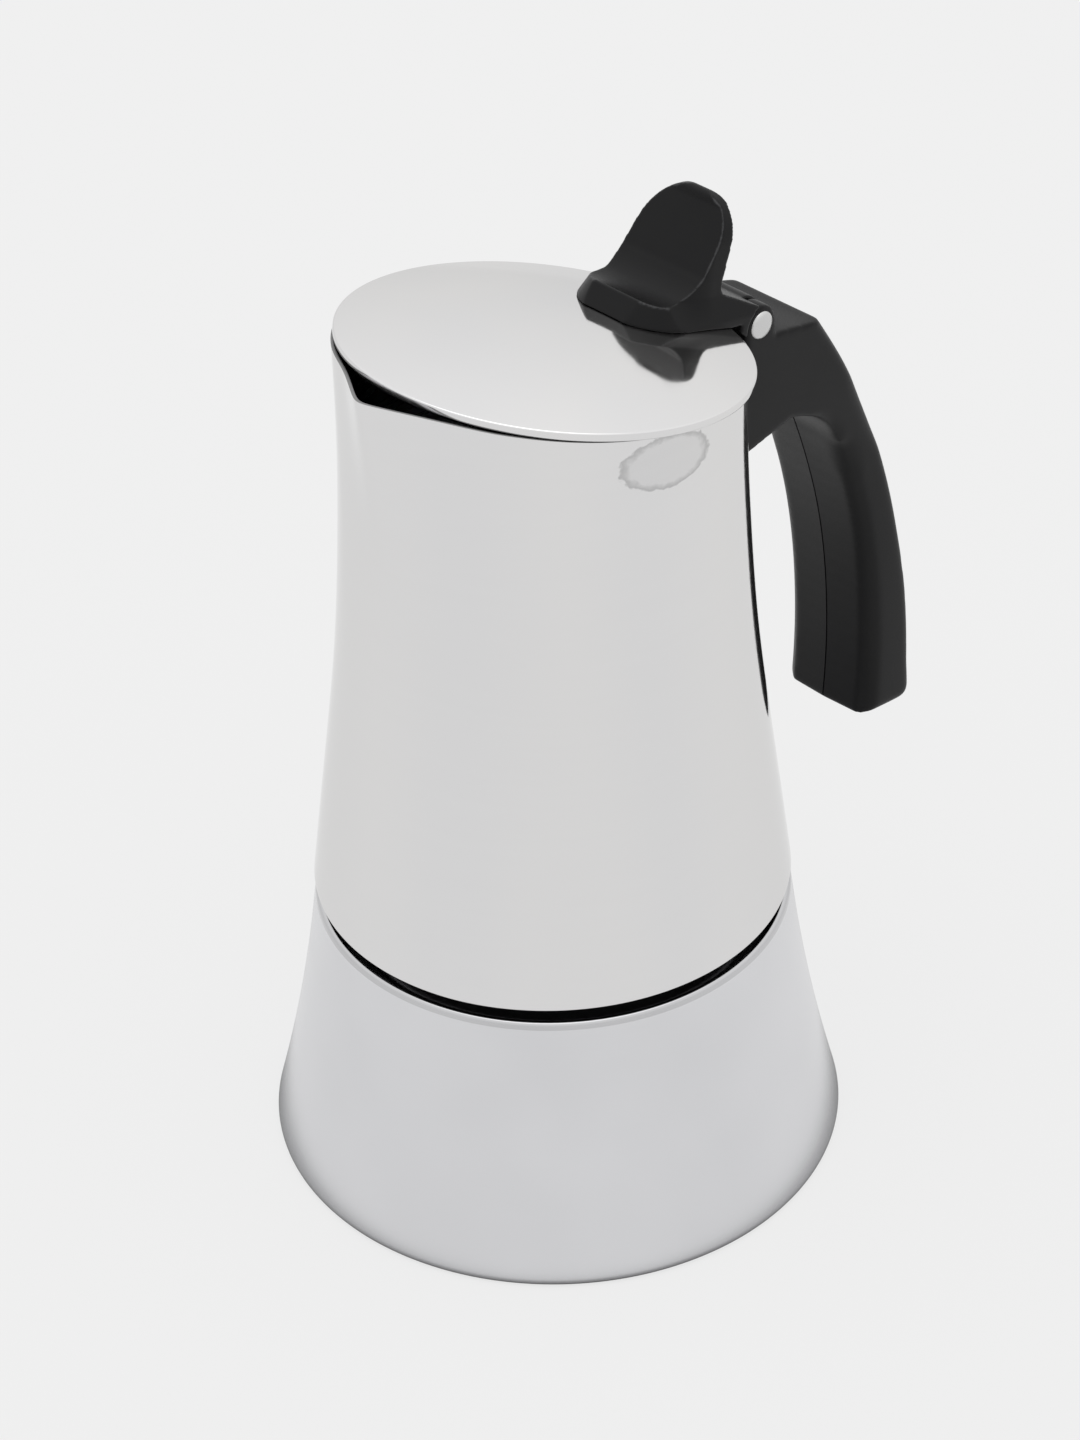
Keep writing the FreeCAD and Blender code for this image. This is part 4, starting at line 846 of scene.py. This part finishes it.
crest = eased(spots[:, 0], 46, 57) * eased(height, 134, 148)
spots[:, 1] *= 1 - INNER_NARROWS * below_arm * inward ** 2
spots[:, 0] -= INNER_CROWN * below_arm * inward ** 6 * np.clip(1 - np.abs(spots[:, 1]) / 10, 0, 1)
spots[:, 0] -= INNER_SHIFT * inward * eased(height, 110, 70) * (spots[:, 0] > GRIP_FROM)
spots[:, 0] -= BACK_SHIFT * (1 - inward) * eased(height, 78, 95) * eased(spots[:, 0], 56, 66)
spots[:, 0] += SEAM_DEPTH * seam + HEEL_OUT * heel
spots[:, 2] -= HEEL_DOWN * heel + CREST_DOWN * crest
move_spots(handle, spots, 50)
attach(handle, "upper_pot")
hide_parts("handle")

# Hinge pin: a polished steel rivet through both ears of the handle and the lever's tongue.
# Its domed head is in front, and its end is closed over behind.
HINGE = Vector((42.024, 0, 153.383)) * MM
pin_head = [(0, -11.8), (0.8, -11.77), (1.5, -11.66), (2.1, -11.45), (2.45, -11.2), (2.55, -11.0), (1.6, -11.0)]
pin_end = [(1.6, 11.0), (2.3, 11.0), (2.2, 11.4), (1.6, 11.7), (0.8, 11.8), (0, 11.8)]
pin_along_y = Matrix.Translation(HINGE) @ Matrix.Rotation(math.radians(-90), 4, "X")
pin_steel = steel("pin_steel", (0.60, 0.60, 0.60), (0.74, 0.74, 0.73), (0.24, 0.36), (700, 700, 700), 2e-6)
pin = turn("hinge_rivet", pin_head + pin_end, pin_steel, 64, 40, pin_along_y)
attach(pin, "upper_pot")
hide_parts("hinge_pin")

# Lid: a shallow dome of polished sheet with its edge rolled over into a hem.
# It lies on the sloping rim and turns about the hinge pin with the thumb lever.
LID_PLACE = Matrix.Translation(Vector((1.194, 0, 162.895)) * MM) @ Matrix.Rotation(RIM_TILT, 4, "Y")
LID_RADIUS = 35.4
LID_SAG = 3.0
LID_SHEET = 0.6
DOME_RADIUS = (LID_RADIUS ** 2 + LID_SAG ** 2) / (2 * LID_SAG)


def dome(reach, under=0.0):
    """A point on the lid's dome, some distance under its outer face."""
    return reach, LID_SAG - DOME_RADIUS + math.sqrt(DOME_RADIUS ** 2 - reach ** 2) - under


lid_section = ([dome(r) for r in np.linspace(0, 35.0, 70)]
               + quarter((35.05, -0.295), 0.35, 78, 0, 6) + quarter((34.85, -1.01), 0.55, 0, -90, 6)
               + quarter((34.55, -1.01), 0.55, -90, -180, 5) + [dome(34.0, 0.62)]
               + [dome(r, LID_SHEET) for r in np.linspace(33.5, 0, 34)])
lid = turn("lid_dome", lid_section[::-1], polished_steel, 256, 50, LID_PLACE)
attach(lid, "lid")
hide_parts("lid_plate")

# Thumb lever: moulded in the same black plastic as the handle, screwed to the lid from below; its tongue
# turns on the hinge pin between the handle's ears. Its upper convex edges are coloured pale, partly wear from
# thumbs and partly a painted highlight along the edges.
LIP_FOOT = 2.4
LIP_TOP = 5.7
LIP_BEVEL = 0.15
LIP_NARROWS = 0.14
LIP_RAISE = 0.7
PADDLE_FOOT = 9.0
PADDLE_TOP = 22.5
PADDLE_LEAN = 0.9
PADDLE_DROP = 0.9
PADDLE_NARROWS = 0.03
WEAR_AND_PAINTED_HIGHLIGHT_FROM = 0.012
WEAR_AND_PAINTED_HIGHLIGHT_TO = 0.030
lever = moulded("thumb_lever", "lid_knob", 0.24, 6, black_plastic)
lever.data.transform(LID_PLACE.inverted())
spots = spots_of(lever)
reach, rise = spots[:, 0].copy(), spots[:, 2].copy()
bevel = np.clip((rise - LIP_FOOT) / (LIP_TOP - LIP_FOOT), 0, 1) * eased(reach, 29, 19)
upper = np.clip((rise - PADDLE_FOOT) / (PADDLE_TOP - PADDLE_FOOT), 0, 1) * (reach < 36)
spots[:, 0] += LIP_BEVEL * bevel * (28 - reach) + PADDLE_LEAN * upper
spots[:, 1] *= (1 - LIP_NARROWS * bevel) * (1 - PADDLE_NARROWS * upper)
spots[:, 2] += LIP_RAISE * bevel * eased(reach, 27, 15) - PADDLE_DROP * upper
move_spots(lever, spots, 60)
outward = np.empty(len(spots) * 3)
lever.data.vertices.foreach_get("normal", outward)
# How far each point stands out sets its pale edge colour: partly thumb wear, partly a painted edge highlight.
stand_out = -(toward_neighbours(lever, spots) * outward.reshape(-1, 3)).sum(axis=1)
wear_and_painted_highlight_part = (rise > LIP_TOP - 1) * (reach < 34)
wear_and_painted_highlight_values = lever.data.attributes.new("wear_and_painted_highlight", "FLOAT", "POINT")
wear_and_painted_highlight_values.data.foreach_set("value", eased(stand_out, WEAR_AND_PAINTED_HIGHLIGHT_FROM, WEAR_AND_PAINTED_HIGHLIGHT_TO) * wear_and_painted_highlight_part)
lever.data.transform(LID_PLACE)
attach(lever, "lid")
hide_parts("lid_knob")

# Backing strip and screws under the lid: a plain steel strip spreads the load of two pan-head screws.
# The screws go up through the lid into the lever.
for node in ("lid_backing", "lid_screws"):
    dress(node, plain_steel)
